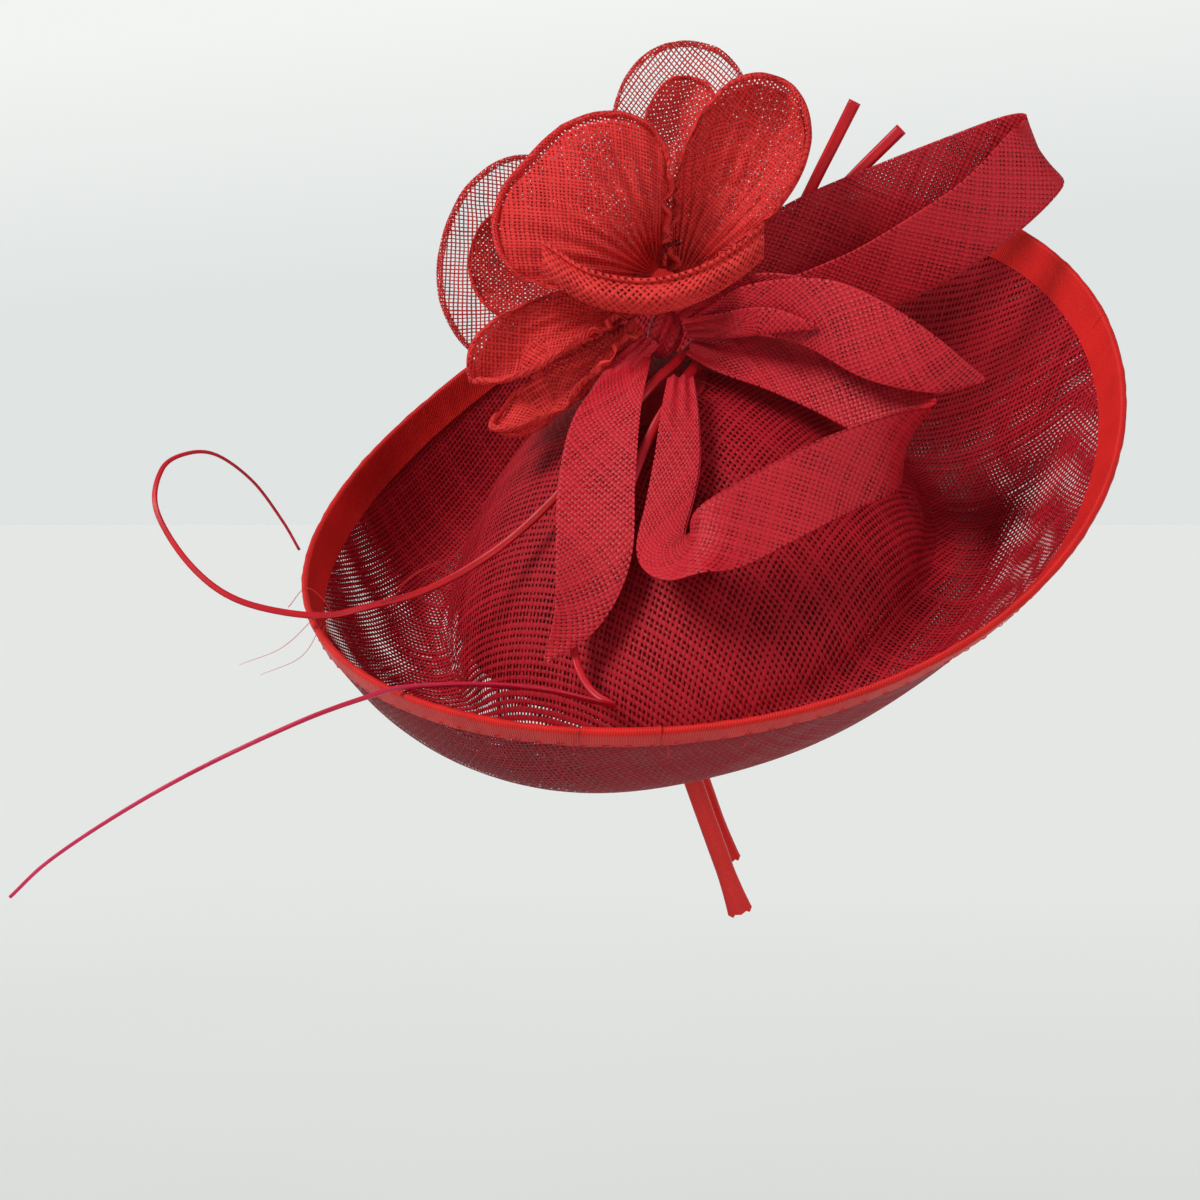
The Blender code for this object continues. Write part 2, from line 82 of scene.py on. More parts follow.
# brim section from the rim inwards: radius, height, forward shift of the centre
BRIM = (
    (150.0, 0.0, 0.0),
    (144.5, -9.0, -4.5),
    (137.0, -19.0, -9.5),
    (128.5, -31.0, -14.0),
    (119.0, -41.5, -17.5),
    (109.0, -48.0, -19.5),
    (99.0, -49.5, -20.0),
    (92.0, -46.5, -20.0),
)
CROWN_R = 90.0
CROWN_FOOT = -42.0
CROWN_TOP = 24.0
CROWN_FORWARD = (-20.0, 10.0)     # centre at the foot, and its run to the top
CROWN_LEFT = 30.0
PAD_APEX = (-20.0, 0.0, -15.4)
PAD_IN = 3.0

# ---- edge ----
WIRE_LIFT = -0.5           # the wire's middle, from the top layer
BIND_HALF = 1.35           # half the folded binding's thickness
BIND_DEPTH = 12.0          # its flat part inside the bowl
BIND_OUTER = 7.5           # and outside it
BIND_FOLD = 0.4            # the fold's centre stands this far beyond the rim
BRIM_EASE = 8.0            # the brim's normal turns over this run at its first station

# ---- trim ----
TRIM_AT = (20.0, -27.0, 80.0)     # the flower's heart, in the row frame
RIBBON_W = 27.0
RIBBON_T = 0.9             # a ribbon is a strip folded flat, so two layers thick

# Ribbon stations in the trim frame: forward, up, out, width, then its width's direction.
LOOP_LOWER = (
    (11.5, -15, 13, 10, 0.2, 0.85, -0.4),
    (26, -19, 19, 18, 0.2, 0.8, -0.55),
    (46, -24, 24, 22, 0.25, 0.83, -0.5),
    (67, -31, 32, 26, 0.3, 0.85, -0.35),
    (83, -39, 42, 27, 0.4, 0.87, -0.2),
    (88, -46, 53, 27, 0.45, 0.85, -0.15),
    (79, -52, 64, 27, 0.45, 0.85, -0.2),
    (58, -60, 73, 27, 0.45, 0.85, -0.25),
    (36, -71, 79, 27, 0.45, 0.85, -0.3),
    (17, -81, 83, 26, 0.52, 0.78, -0.3),
    (6.5, -86.5, 80, 22, 0.66, 0.65, -0.25),
    (0, -83.5, 71, 18, 0.8, 0.5, -0.1),
    (3, -70, 58, 17, 0.92, 0.25, 0.1),
    (6, -55, 48, 16, 1, 0.1, 0.05),
    (7, -39, 37, 13, 1, 0, 0),
    (7.5, -27, 26, 9, 1, 0, 0),
)
LOOP_UPPER = (
    (10, 0.5, -9, 8, -0.3, 0.9, 0.1),
    (28, 12, -16, 18, -0.35, 0.9, 0.1),
    (55, 24, -18, 26, -0.4, 0.88, 0.15),
    (84, 36, -15, 27, -0.42, 0.88, 0.15),
    (112, 47, -10, 27, -0.46, 0.86, 0.12),
    (130, 53, -4, 28, -0.5, 0.85, 0.1),
    (137, 53, 2, 28, -0.53, 0.84, 0.08),
    (131, 45, 8, 28, -0.55, 0.83, 0.1),
    (117, 32, 11, 27, -0.5, 0.85, 0.15),
    (98, 19, 10, 27, -0.45, 0.87, 0.2),
    (76, 7, 7, 25, -0.35, 0.9, 0.25),
    (52, -1, 3, 20, -0.2, 0.95, 0.2),
    (30, -6, 0, 12, -0.1, 0.95, 0.2),
    (13, -9, -1, 7, 0, 1, 0.1),
)
TAIL_FORWARD = (
    (10.5, -10.5, 13.5, 6, -0.3, 0.9, 0.3),
    (21, -6.5, 21, 11, -0.2, 0.92, 0.3),
    (34, -2.5, 29, 17, 0.0, 0.93, 0.3),
    (57, -5, 39, 25, 0.25, 0.9, 0.1),
    (77, -15, 48, 26, 0.35, 0.9, 0),
    (97, -23.5, 52, 17, 0.35, 0.9, 0),
    (113, -27.5, 50, 1.6, 0.3, 0.9, 0),
)
TAIL_DOWN = (
    (-5.5, -19.5, 13.0, 9, 0.9, 0.3, 0.2),
    (-11, -26, 22, 15, 0.95, 0.25, 0.2),
    (-19, -42, 36, 24, 1, 0.1, 0.15),
    (-22.5, -64, 52, 27, 1, 0, 0.15),
    (-23.5, -88, 64, 26, 1, -0.05, 0.1),
    (-29, -108, 69, 17, 1, -0.2, 0.05),
    (-40, -124, 71, 1.6, 0.9, -0.4, 0),
)

# Quill routes in the trim frame: forward, up, out.
QUILL_CURLED = (
    (72, 72, -28), (61, 50, -30), (48, 25, -30), (32, 3, -24), (24, -5, -17),
    (17, -11.5, -8.5), (12, -16.5, 1.5), (7, -21, 11.5), (-1, -28, 21),
    (-8, -35.5, 27), (-18, -47, 32), (-35, -67, 36), (-57, -87, 37),
    (-81, -101, 40), (-102, -107, 45), (-121, -110, 50), (-148, -105, 48),
    (-166, -93, 41), (-179, -74, 31), (-178, -60, 20), (-170, -55, 10),
    (-160, -56, 2), (-148, -66, -8), (-138, -81, -17), (-132, -92, -20),
)
QUILL_LONG = (
    (89, 62, -27), (72, 45, -30), (56, 28, -32), (41, 8, -28), (32, -3, -20),
    (26, -8.5, -11.5), (21, -13.5, -3.5), (17, -18, 5), (13, -23, 14),
    (8, -29, 23), (2, -37.5, 32), (-4, -48, 37.5), (-12, -68, 49),
    (-20, -88, 56), (-29, -105, 61), (-31, -115, 64), (-29, -126, 70),
    (-24, -134, 76), (-17, -138, 83), (-22, -136, 90), (-42, -131, 95),
    (-65, -129, 99), (-88, -129.5, 104), (-99, -132, 107), (-122, -140, 111),
    (-156, -156, 110), (-184, -172, 106), (-209, -189, 102), (-223, -202, 100),
)


# ---- frames ----
PITCH = math.radians(BAND_PITCH)
TILT = math.radians(HAT_TILT)
LEFT = np.array([0.0, 1.0, 0.0])
FORWARD = np.array([math.cos(PITCH), 0.0, math.sin(PITCH)])
BAND_UP = np.array([-math.sin(PITCH), 0.0, math.cos(PITCH)])
HAT_UP = math.cos(TILT) * BAND_UP - math.sin(TILT) * LEFT
HAT_LEFT = math.cos(TILT) * LEFT + math.sin(TILT) * BAND_UP


def from_band(points):
    """Band frame (forward, left, up the band) to row frame."""
    p = np.asarray(points, float)
    return p[..., 0:1] * FORWARD + p[..., 1:2] * LEFT + p[..., 2:3] * BAND_UP


def from_hat(points):
    """Saucer frame (forward, left, out of the rim's plane) to row frame."""
    p = np.asarray(points, float)
    offset = p[..., 0:1] * FORWARD + p[..., 1:2] * HAT_LEFT + p[..., 2:3] * HAT_UP
    return from_band(HAT_CENTRE) + offset


def from_trim(points):
    """Trim frame (forward, up, out to the wearer's right) to row frame."""
    p = np.asarray(points, float)
    return np.array(TRIM_AT) + np.stack([p[..., 0], -p[..., 2], p[..., 1]], -1)


# ---- paths ----
def unit(v):
    v = np.asarray(v, float)
    return v / np.maximum(np.linalg.norm(v, axis=-1, keepdims=True), 1e-12)


def smooth_path(stations, count):
    """Catmull-Rom curve through the stations."""
    p = np.asarray(stations, float)
    ends = (2 * p[0] - p[1], 2 * p[-1] - p[-2])
    p = np.vstack([ends[0], p, ends[1]])
    out = []
    for s in np.linspace(0, len(p) - 3, count):
        i = min(int(s), len(p) - 4)
        f = s - i
        a, b, c, d = p[i:i + 4]
        out.append(b + 0.5 * f * (c - a)
                   + 0.5 * f * f * (2 * a - 5 * b + 4 * c - d)
                   + 0.5 * f ** 3 * (3 * b - a - 3 * c + d))
    return np.array(out)


def run_along(points):
    """Distance along a path to each of its points."""
    return np.concatenate([[0.0], np.cumsum(np.linalg.norm(np.diff(points[:, :3], axis=0), axis=1))])


def spaced(path, count):
    """This many points, evenly along a path."""
    run = run_along(path)
    wanted = np.linspace(0.0, run[-1], count)
    return np.stack([np.interp(wanted, run, column) for column in path.T], 1)


def even_path(stations, step):
    """The curve through the stations, with its samples about one step apart."""
    curve = smooth_path(stations, 1200)
    return spaced(curve, max(4, int(run_along(curve)[-1] / step)))


def waves(seed, count, *places):
    """A smooth, seeded unevenness, mostly between -1 and 1, over any number of coordinates."""
    rng = np.random.default_rng(seed)
    total = np.zeros(np.broadcast(*places).shape)
    for _ in range(count):
        phase = rng.uniform(0, 2 * math.pi)
        total = total + np.sin(sum(rng.normal() * place for place in places) + phase)
    return total / math.sqrt(count)


# ---- meshes ----
def add_object(name, data):
    ob = bpy.data.objects.new(name, data)
    bpy.context.scene.collection.objects.link(ob)
    return ob


def new_object(name, verts, faces, material, weave=None, body=HEAD):
    """A smooth mesh from points in the row frame. weave holds each point's place on the
    cloth in mm, and how much wider than usual its threads are."""
    mesh = bpy.data.meshes.new(name)
    mesh.from_pydata((np.asarray(verts) * MM).tolist(), [], faces)
    mesh.shade_smooth()
    mesh.materials.append(material)
    if weave is not None:
        attribute = mesh.attributes.new("weave", "FLOAT_VECTOR", "POINT")
        attribute.data.foreach_set("vector", np.asarray(weave, np.float32).ravel())
    ob = add_object(name, mesh)
    if body:
        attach(ob, body)
    return ob


def grid_faces(rows, columns, wrap=False, start=0):
    """Quads over a grid of points, whose rows may be closed rings."""
    faces = []
    for near in range(start, start + (rows - 1) * columns, columns):
        far = near + columns
        for j in range(columns if wrap else columns - 1):
            k = (j + 1) % columns
            faces.append([near + j, near + k, far + k, far + j])
    return faces


def over_grid(*places):
    """Columns and rows of numbers spread over one grid."""
    return np.stack(np.broadcast_arrays(*places), 2)


def cloth(name, points, place, material, wider=0.0, wrap=False, body=HEAD):
    """A sheet from a grid of points and their places on the flat cloth."""
    rows, columns = points.shape[:2]
    extra = np.broadcast_to(np.asarray(wider, float), (rows, columns))
    weave = np.concatenate([place, extra[..., None]], 2)
    sheet = new_object(name, points.reshape(-1, 3), grid_faces(rows, columns, wrap), material, weave, body)
    return sheet


def normals_of(points, wrap=False):
    """Directions square to a sheet at each point of its grid."""
    across = np.roll(points, -1, 1) - np.roll(points, 1, 1) if wrap else np.gradient(points, axis=1)
    return unit(np.cross(across, np.gradient(points, axis=0)))


def carried_up(path, up):
    """A path's tangents, and directions square to them that turn as little as they can."""
    tangents = unit(np.gradient(path, axis=0))
    out = []
    for tangent in tangents:
        up = unit(up - np.dot(up, tangent) * tangent)
        out.append(up)
    return tangents, np.array(out)


ROD_UP = (0.0, -1.0, 0.3)  # a rod's upper face starts this way up
GROOVE_WIDTH = 0.4         # its channel's width, in radii


def rod_rings(path, radii, sides, wide, groove):
    """Rings of points round a path, and their places: run, turn and share of its length.
    wide flattens the rod, and groove sinks a channel along its upper face."""
    path = np.asarray(path, float)
    tangents, ups = carried_up(path, np.array(ROD_UP))
    across = np.cross(tangents, ups)
    turn = np.linspace(0, 2 * math.pi, sides, endpoint=False)
    radii = np.broadcast_to(np.asarray(radii, float), len(path))[:, None, None]
    rise = np.sin(turn) / wide - groove * np.exp(-(np.cos(turn) / GROOVE_WIDTH) ** 2) * (np.sin(turn) > 0)
    offsets = across[:, None] * (wide * np.cos(turn))[:, None] + ups[:, None] * rise[:, None]
    points = path[:, None] + offsets * radii
    run = run_along(path)
    return points, over_grid(run[:, None], turn[None, :], (run / run[-1])[:, None])


def rods(name, routes, material, sides=10, wide=1.0, groove=0.0):
    """One piece of one or more rods, each from its path and radii and closed at both ends."""
    verts, weave, faces = [], [], []
    start = 0
    for path, radii in routes:
        points, place = rod_rings(path, radii, sides, wide, groove)
        verts.append(points.reshape(-1, 3))
        weave.append(place.reshape(-1, 3))
        faces += grid_faces(len(points), sides, wrap=True, start=start)
        last = start + (len(points) - 1) * sides
        faces.append([start + j for j in reversed(range(sides))])
        faces.append([last + j for j in range(sides)])
        start = last + sides
    return new_object(name, np.vstack(verts), faces, material, np.vstack(weave))


def turned(place, degrees):
    """Places on the cloth, with the weave turned on the bias by this much."""
    a = math.radians(degrees)
    u, v = place[..., 0], place[..., 1]
    return np.stack([u * math.cos(a) - v * math.sin(a), u * math.sin(a) + v * math.cos(a)], -1)


# ---- material nodes ----
class Field:
    """A number that varies over a surface, with plain arithmetic on it."""

    def __init__(self, tree, socket):
        self.tree = tree
        self.socket = socket

    def apply(self, operation, *others):
        made = self.tree.nodes.new("ShaderNodeMath")
        made.operation = operation
        for socket, value in zip(made.inputs, (self, *others)):
            join(self.tree, value, socket)
        return Field(self.tree, made.outputs[0])

    def __add__(self, other):
        return self.apply("ADD", other)

    def __sub__(self, other):
        return self.apply("SUBTRACT", other)

    def __mul__(self, other):
        return self.apply("MULTIPLY", other)

    def __truediv__(self, other):
        return self.apply("DIVIDE", other)

    def clamp(self):
        return self.apply("MAXIMUM", 0.0).apply("MINIMUM", 1.0)


def join(tree, value, socket):
    """Feed a socket from a field, another socket or a plain value."""
    if isinstance(value, Field):
        value = value.socket
    if isinstance(value, bpy.types.NodeSocket):
        tree.links.new(value, socket)
    else:
        socket.default_value = value


def add_node(tree, kind, inputs=None, **settings):
    made = tree.nodes.new(kind)
    for name, value in settings.items():
        setattr(made, name, value)
    for name, value in (inputs or {}).items():
        join(tree, value, made.inputs[name])
    return made


def new_material(name):
    material = bpy.data.materials.new(name)
    material.use_nodes = True
    tree = material.node_tree
    tree.nodes.clear()
    return material, tree, tree.nodes.new("ShaderNodeOutputMaterial").inputs["Surface"]


def blended(tree, share, low, high):
    """Colour from low to high by a field."""
    made = add_node(tree, "ShaderNodeMix", data_type="RGBA", clamp_factor=True)
    join(tree, share, made.inputs["Factor"])
    for socket, colour in ((made.inputs[6], low), (made.inputs[7], high)):
        join(tree, (*colour, 1.0) if isinstance(colour, tuple) else colour, socket)
    return made.outputs[2]


def cloth_place(tree):
    """The place on the cloth in mm, and how much wider its threads are there."""
    attribute = add_node(tree, "ShaderNodeAttribute", attribute_name="weave")
    parts = add_node(tree, "ShaderNodeSeparateXYZ", {"Vector": attribute.outputs["Vector"]})
    return attribute.outputs["Vector"], [Field(tree, parts.outputs[i]) for i in range(3)]


def soft_noise(tree, place, size, detail=2.0):
    """Noise around zero, with blobs of about this size."""
    made = add_node(tree, "ShaderNodeTexNoise", {"Vector": place, "Scale": 1.0 / size, "Detail": detail})
    return Field(tree, made.outputs["Fac"]) - 0.5


def thread_number(tree, count):
    """A number from 0 to 1 of its own for each thread."""
    return Field(tree, add_node(tree, "ShaderNodeTexWhiteNoise", {"W": count},
                                noise_dimensions="1D").outputs["Value"])


def bumped_body(tree, height, depth, inputs):
    """A Principled shader with relief of this depth in mm, and the relief's normal."""
    bump = add_node(tree, "ShaderNodeBump", {"Height": height, "Distance": depth * MM}).outputs["Normal"]
    body = add_node(tree, "ShaderNodeBsdfPrincipled", {**inputs, "Normal": bump})
    return body.outputs[0], bump


def plain_weave(tree, pitch, thread, sway):
    """A plain weave: where thread covers the cloth, how high it stands, and each thread's own random
    brightness.
    thread is half a thread's width in pitches, sway how far threads wander in mm."""
    vector, (u, v, wider) = cloth_place(tree)
    threads = [(place + soft_noise(tree, vector, size) * sway) / pitch
               for place, size in ((u, 14.0), (v, 9.0))]
    cells = [place.apply("FLOOR") for place in threads]
    over = ((cells[0] + cells[1]) * 0.5).apply("FRACT") * 4.0 - 1.0
    off = [place - cell - 0.5 for place, cell in zip(threads, cells)]
    sides = []
    for k, sign in ((0, 1.0), (1, -1.0)):
        own = thread_number(tree, cells[k] + 57.3 * k)
        half = (own * 0.5 + 0.75) * thread + wider
        distance = off[k].apply("ABSOLUTE")
        cover = ((half - distance) * 14.0 + 0.5).clamp()
        round_top = ((distance / half).apply("POWER", 2.0) * -1.0 + 1.0).apply("MAXIMUM", 0.0).apply("SQRT")
        lift = (off[1 - k] * math.pi).apply("COSINE") * over * (0.35 * sign)
        sides.append((cover, cover * (round_top * 0.45 + lift + 0.55), own))
    cover = sides[0][0].apply("MAXIMUM", sides[1][0])
    height = sides[0][1].apply("MAXIMUM", sides[1][1])
    first = sides[0][1].apply("GREATER_THAN", sides[1][1])
    shade = first * sides[0][2] + (first * -1.0 + 1.0) * sides[1][2]
    return vector, cover, height, shade


def woven(name, deep, lit, pitch, thread=0.33, sway=0.5, rough=0.5, sheen=0.0, through=0.25,
          relief=0.35, gloss=0.12):
    """Stiffened open weave with real holes between its threads. through is the share of
    light that passes through the threads themselves."""
    material, tree, surface = new_material(name)
    vector, cover, height, shade = plain_weave(tree, pitch, thread, sway)
    patch = soft_noise(tree, vector, 30.0)
    fibre = soft_noise(tree, vector, 0.6, 4.0)
    # Painted shade and highlight: the colour is darker where the threads sink between each other and lighter
    # on their raised tops, mixed with each thread's own random brightness and with random patches and
    # fibres.
    shade_and_tone = (height * 1.15 + shade * 0.4 + patch * 0.5 + fibre * 0.6 - 0.42).clamp()
    colour = blended(tree, shade_and_tone, deep, lit)
    body, bump = bumped_body(tree, height + fibre * 0.3, relief, {
        "Base Color": colour, "Roughness": (shade * 0.2 + rough - 0.1).clamp(), "Sheen Weight": sheen,
        "Sheen Roughness": 0.4, "Sheen Tint": (1.0, 0.35, 0.38, 1.0), "Specular IOR Level": gloss})
    glow = add_node(tree, "ShaderNodeBsdfTranslucent", {"Color": colour, "Normal": bump})
    solid = add_node(tree, "ShaderNodeMixShader", {0: through, 1: body, 2: glow.outputs[0]})
    hole = add_node(tree, "ShaderNodeBsdfTransparent")
    mixed = add_node(tree, "ShaderNodeMixShader", {0: cover, 1: hole.outputs[0], 2: solid.outputs[0]})
    join(tree, mixed.outputs[0], surface)
    return material


def ribbed(name, deep, lit, rib, rough, sheen, relief, coat=0.0):
    """Close ribbon cloth with fine ribs across it. Its place runs along it in mm first, and
    its third number makes the cloth lighter."""
    material, tree, surface = new_material(name)
    vector, (along, _, lighter) = cloth_place(tree)
    ribs = ((along + soft_noise(tree, vector, 6.0) * 0.3) * (2 * math.pi / rib)).apply("SINE") * 0.5 + 0.5
    fibre = soft_noise(tree, vector, 0.5, 3.0)
    patch = soft_noise(tree, vector, 22.0)
    # Painted shade and highlight: the colour is darker in the grooves between the ribs and lighter on their
    # tops, with random fibres and patches, and the place's third number adds to it.
    shade_and_tone = (ribs * 0.45 + fibre * 0.5 + patch * 0.8 + lighter + 0.3).clamp()
    body, _ = bumped_body(tree, ribs + fibre * 0.4, relief, {
        "Base Color": blended(tree, shade_and_tone, deep, lit), "Roughness": (fibre * 0.2 + rough).clamp(),
        "Sheen Weight": sheen, "Sheen Tint": (1.0, 0.35, 0.35, 1.0), "Specular IOR Level": 0.15,
        "Coat Weight": coat, "Coat Roughness": 0.35})
    join(tree, body, surface)
    return material


def spine(name, root, tip):
    """Dyed, stripped feather spine: satin, streaked lengthwise, its tip another shade.
    The place's first number runs along it in mm, the second round it, and the third
    from 0 at the root to 1 at the tip."""
    material, tree, surface = new_material(name)
    _, (run, turn, along) = cloth_place(tree)
    streak_place = add_node(tree, "ShaderNodeCombineXYZ", {"X": run * 0.06, "Y": turn * 1.6})
    streak = soft_noise(tree, streak_place.outputs[0], 1.0, 3.0)
    tinted = blended(tree, ((along - 0.55) * 2.6).clamp(), root, tip)
    streaked = blended(tree, (streak * 1.6 + 0.25).clamp(), tinted, (0.22, 0.004, 0.012))
    body, _ = bumped_body(tree, streak, 0.25, {
        "Base Color": streaked, "Roughness": (streak * 0.3 + 0.36).clamp(), "Specular IOR Level": 0.3})
    join(tree, body, surface)
    return material


def grained(name, deep, lit, size, rough, metal=0.0):
    """A plain material with fine grain of about this size in mm, for hidden hardware."""
    material, tree, surface = new_material(name)
    place = add_node(tree, "ShaderNodeTexCoord").outputs["Object"]
    grain = soft_noise(tree, place, size * MM, 3.0)
    body, _ = bumped_body(tree, grain, 0.05, {
        "Base Color": blended(tree, (grain + 0.5).clamp(), deep, lit),
        "Roughness": (grain * 0.2 + rough).clamp(), "Metallic": metal})
    join(tree, body, surface)
    return material


# For each woven and ribbed cloth below, the first colour is the painted shade deep between its threads or
# ribs and the second the lit colour of their tops, with the cloth's own random variation between them.
SINAMAY_PITCH = 1.9        # from one thread of the saucer's cloth to the next
SINAMAY = woven("sinamay", (0.055, 0.001, 0.002), (0.44, 0.011, 0.022), pitch=SINAMAY_PITCH, through=0.12)
# Painted shade: a darker copy of the saucer's weave for its under layer, standing in for the shade beneath
# the brim.
SHADED_UNDERSIDE = woven("sinamay_underside_painted_shade", (0.040, 0.001, 0.002), (0.30, 0.006, 0.016), pitch=SINAMAY_PITCH,
                  through=0.08, gloss=0.08)
RIBBON = woven("ribbon_weave", (0.060, 0.001, 0.002), (0.52, 0.012, 0.024), pitch=1.6, thread=0.42,
               sway=0.15, rough=0.42, sheen=0.02, through=0.06, gloss=0.22)
SHEER = woven("sheer_weave", (0.30, 0.006, 0.008), (0.86, 0.060, 0.058), pitch=1.5, thread=0.16,
              sway=1.1, sheen=0.15, through=0.35)
PETAL = woven("petal_weave", (0.20, 0.003, 0.005), (0.86, 0.052, 0.050), pitch=1.35, sway=1.1,
              sheen=0.15, through=0.3)
LIP = woven("lip_weave", (0.16, 0.003, 0.005), (0.86, 0.055, 0.050), pitch=2.1, thread=0.34,
            sway=0.6, sheen=0.1, through=0.25, relief=0.5)
BUCKRAM = woven("stiff_base", (0.12, 0.002, 0.005), (0.38, 0.010, 0.018), pitch=1.3, thread=0.47,
                sheen=0.05, through=0.1)
BINDING = ribbed("binding", (0.36, 0.004, 0.005), (0.80, 0.018, 0.014), rib=0.9, rough=0.42,
                 sheen=0.08, relief=0.16)
SATIN = ribbed("satin", (0.46, 0.006, 0.006), (0.78, 0.022, 0.018), rib=0.45, rough=0.28,
               sheen=0.05, relief=0.02, coat=0.35)
QUILL_RED = spine("quill_red", (0.58, 0.008, 0.014), (0.62, 0.014, 0.030))
QUILL_PINK = spine("quill_pink", (0.58, 0.008, 0.018), (0.72, 0.025, 0.13))
THREAD = ribbed("thread", (0.30, 0.006, 0.010), (0.62, 0.03, 0.03), rib=0.3, rough=0.5,
                sheen=0.2, relief=0.03)
STEEL = grained("steel", (0.45, 0.45, 0.47), (0.62, 0.62, 0.64), 0.8, 0.35, 0.9)
CORE = grained("moulded_core", (0.66, 0.63, 0.60), (0.80, 0.78, 0.75), 0.6, 0.5)


# ---- saucer ----
TURN = np.linspace(0, 2 * math.pi, AROUND, endpoint=False)


def rim_wave(radius, turn=TURN):
    """Height that the rim's wave adds round a ring of this radius."""
    share = max(0.0, (radius - WAVE_FROM_R) / (RIM_R - WAVE_FROM_R)) ** 1.5
    return share * RIM_WAVE * np.cos(2 * (turn - math.radians(RIM_WAVE_AT)))


def ring(radius, height, forward, left, turn):
    """A level circle in the saucer frame."""
    return np.stack([radius * np.cos(turn) + forward, radius * np.sin(turn) + left,
                     height + 0 * turn], 1)


def brim_ring(radius, height, forward, turn=TURN):
    """The brim's ring at one station of its section, with the rim's wave."""
    return ring(radius, height + rim_wave(radius, turn), forward, 0.0, turn)


def crown_ring(f, smaller=0.0, turn=TURN):
    """The crown's ring at fraction f of its height, from foot to top, made smaller by this."""
    radius = CROWN_R * (1 - f ** 1.5) ** 0.62 - smaller
    height = CROWN_FOOT + (CROWN_TOP - CROWN_FOOT) * f
    forward = CROWN_FORWARD[0] + CROWN_FORWARD[1] * f
    return ring(radius, height, forward, CROWN_LEFT * f, turn)


def saucer_points():
    """Rings from the cut edge, down the brim and up the crown, in the saucer frame. The
    crown's are closer together at its foot, and the last one all but closes its top."""
    brim = smooth_path(BRIM, 60)
    brim = brim[run_along(brim) > CUT_BACK]
    rows = [brim_ring(*station) for station in brim]
    rows += [crown_ring(0.985 * f) for f in np.linspace(0.02, 1, 60) ** 1.3]
    rows.append(crown_ring(0.9995))
    return np.array(rows)


def bias_place(points):
    """Places on the cloth for rings blocked over the saucer: its weave runs on the bias,
    and stretches partly with the slope."""
    middle = points[:, ::8].mean(1, keepdims=True)
    radius = np.linalg.norm((points - middle)[..., :2], axis=2).mean(1)
    slope = run_along(np.stack([radius, points[..., 2].mean(1), 0 * radius], 1))
    reach = 0.3 * radius + 0.7 * (slope[-1] - slope)
    turn = TURN + math.radians(45.0)
    return np.stack([reach[:, None] * np.cos(turn), reach[:, None] * np.sin(turn)], 2)


def open_near(centre, reach):
    """1 near this direction round the rim, fading to 0 at its reach, in degrees."""
    away = np.abs((np.degrees(TURN) - centre + 180) % 360 - 180)
    return np.clip((reach - away) / 14, 0, 1)


def saucer():
    """Two layers of open weave. The under layer lies half a thread out, so that its holes
    miss the top layer's, but at the sides of the brim it slips and they line up in bands."""
    flat = saucer_points()
    dents = waves(4, 7, flat[..., 0] / 21, flat[..., 1] / 21, flat[..., 2] / 25)
    points = from_hat(flat)
    normal = normals_of(points, wrap=True)
    normal[-1] = normal[-3].mean(0)
    points = points + normal * (0.35 * dents)[..., None]
    place = bias_place(flat)
    radius = np.hypot(flat[..., 0], flat[..., 1])
    side = np.maximum(*[open_near(*zone) for zone in OPEN_SIDES])[None, :]
    open_part = side * np.clip((radius - OPEN_FROM_R) / 12, 0, 1)
    slip = ((radius - OPEN_FROM_R) / 16.0 + 2.2 * np.sin(TURN * 2)[None, :]
            + 0.5 * waves(3, 7, flat[..., 0] / 16, flat[..., 1] / 16))
    top = cloth("sinamay_top", points, place, SINAMAY, wider=-0.06 * open_part, wrap=True)
    shift = np.stack([0.5 + open_part * slip, 0.5 * (1 - open_part)], 2) * SINAMAY_PITCH
    # The under layer takes the darker copy of the weave, as painted shade.
    under = cloth("sinamay_under", points - normal * LAYER_STEP, place + shift, SHADED_UNDERSIDE,
                  wider=0.15 - 0.20 * open_part, wrap=True)
    for layer, node in ((top, "saucer_top_layer"), (under, "saucer_under_layer")):
        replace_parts(layer, node)


def crown_base():
    """Stiff inner base in the crown, which the headband is tacked to. Gives its points."""
    foot = crown_ring(0.10, smaller=PAD_IN)
    apex = np.array(PAD_APEX)
    share = np.linspace(1.0, 0.01, 40)
    flat = np.array([apex + (foot - apex) * (q, q, q * q) for q in share])
    points = from_hat(flat)
    base = cloth("crown_base", points, flat[..., :2], BUCKRAM, wrap=True)
    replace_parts(base, "crown_pad")
    return points.reshape(-1, 3)


# ---- edge ----
def rim_frame(turn):
    """The rim line and the brim's next line, and the way down and the normal from each."""
    a, b, c = [from_hat(brim_ring(*station, turn=turn)) for station in BRIM[:3]]
    down = [unit(b - a), unit(c - b)]
    normal = [unit(np.cross(unit(np.gradient(line, axis=0)), way)) for line, way in zip((a, b), down)]
    return a, b, down, normal


def rim_line(turn, depth, lift):
    """A line this far below the rim along the brim, lifted off its surface."""
    rim, following, down, normal = rim_frame(turn)
    past = depth - np.linalg.norm(following - rim, axis=1, keepdims=True)
    share = np.clip(past / BRIM_EASE + 0.5, 0.0, 1.0)
    place = np.where(past <= 0, rim + down[0] * depth, following + down[1] * past)
    return place + unit(normal[0] * (1 - share) + normal[1] * share) * lift


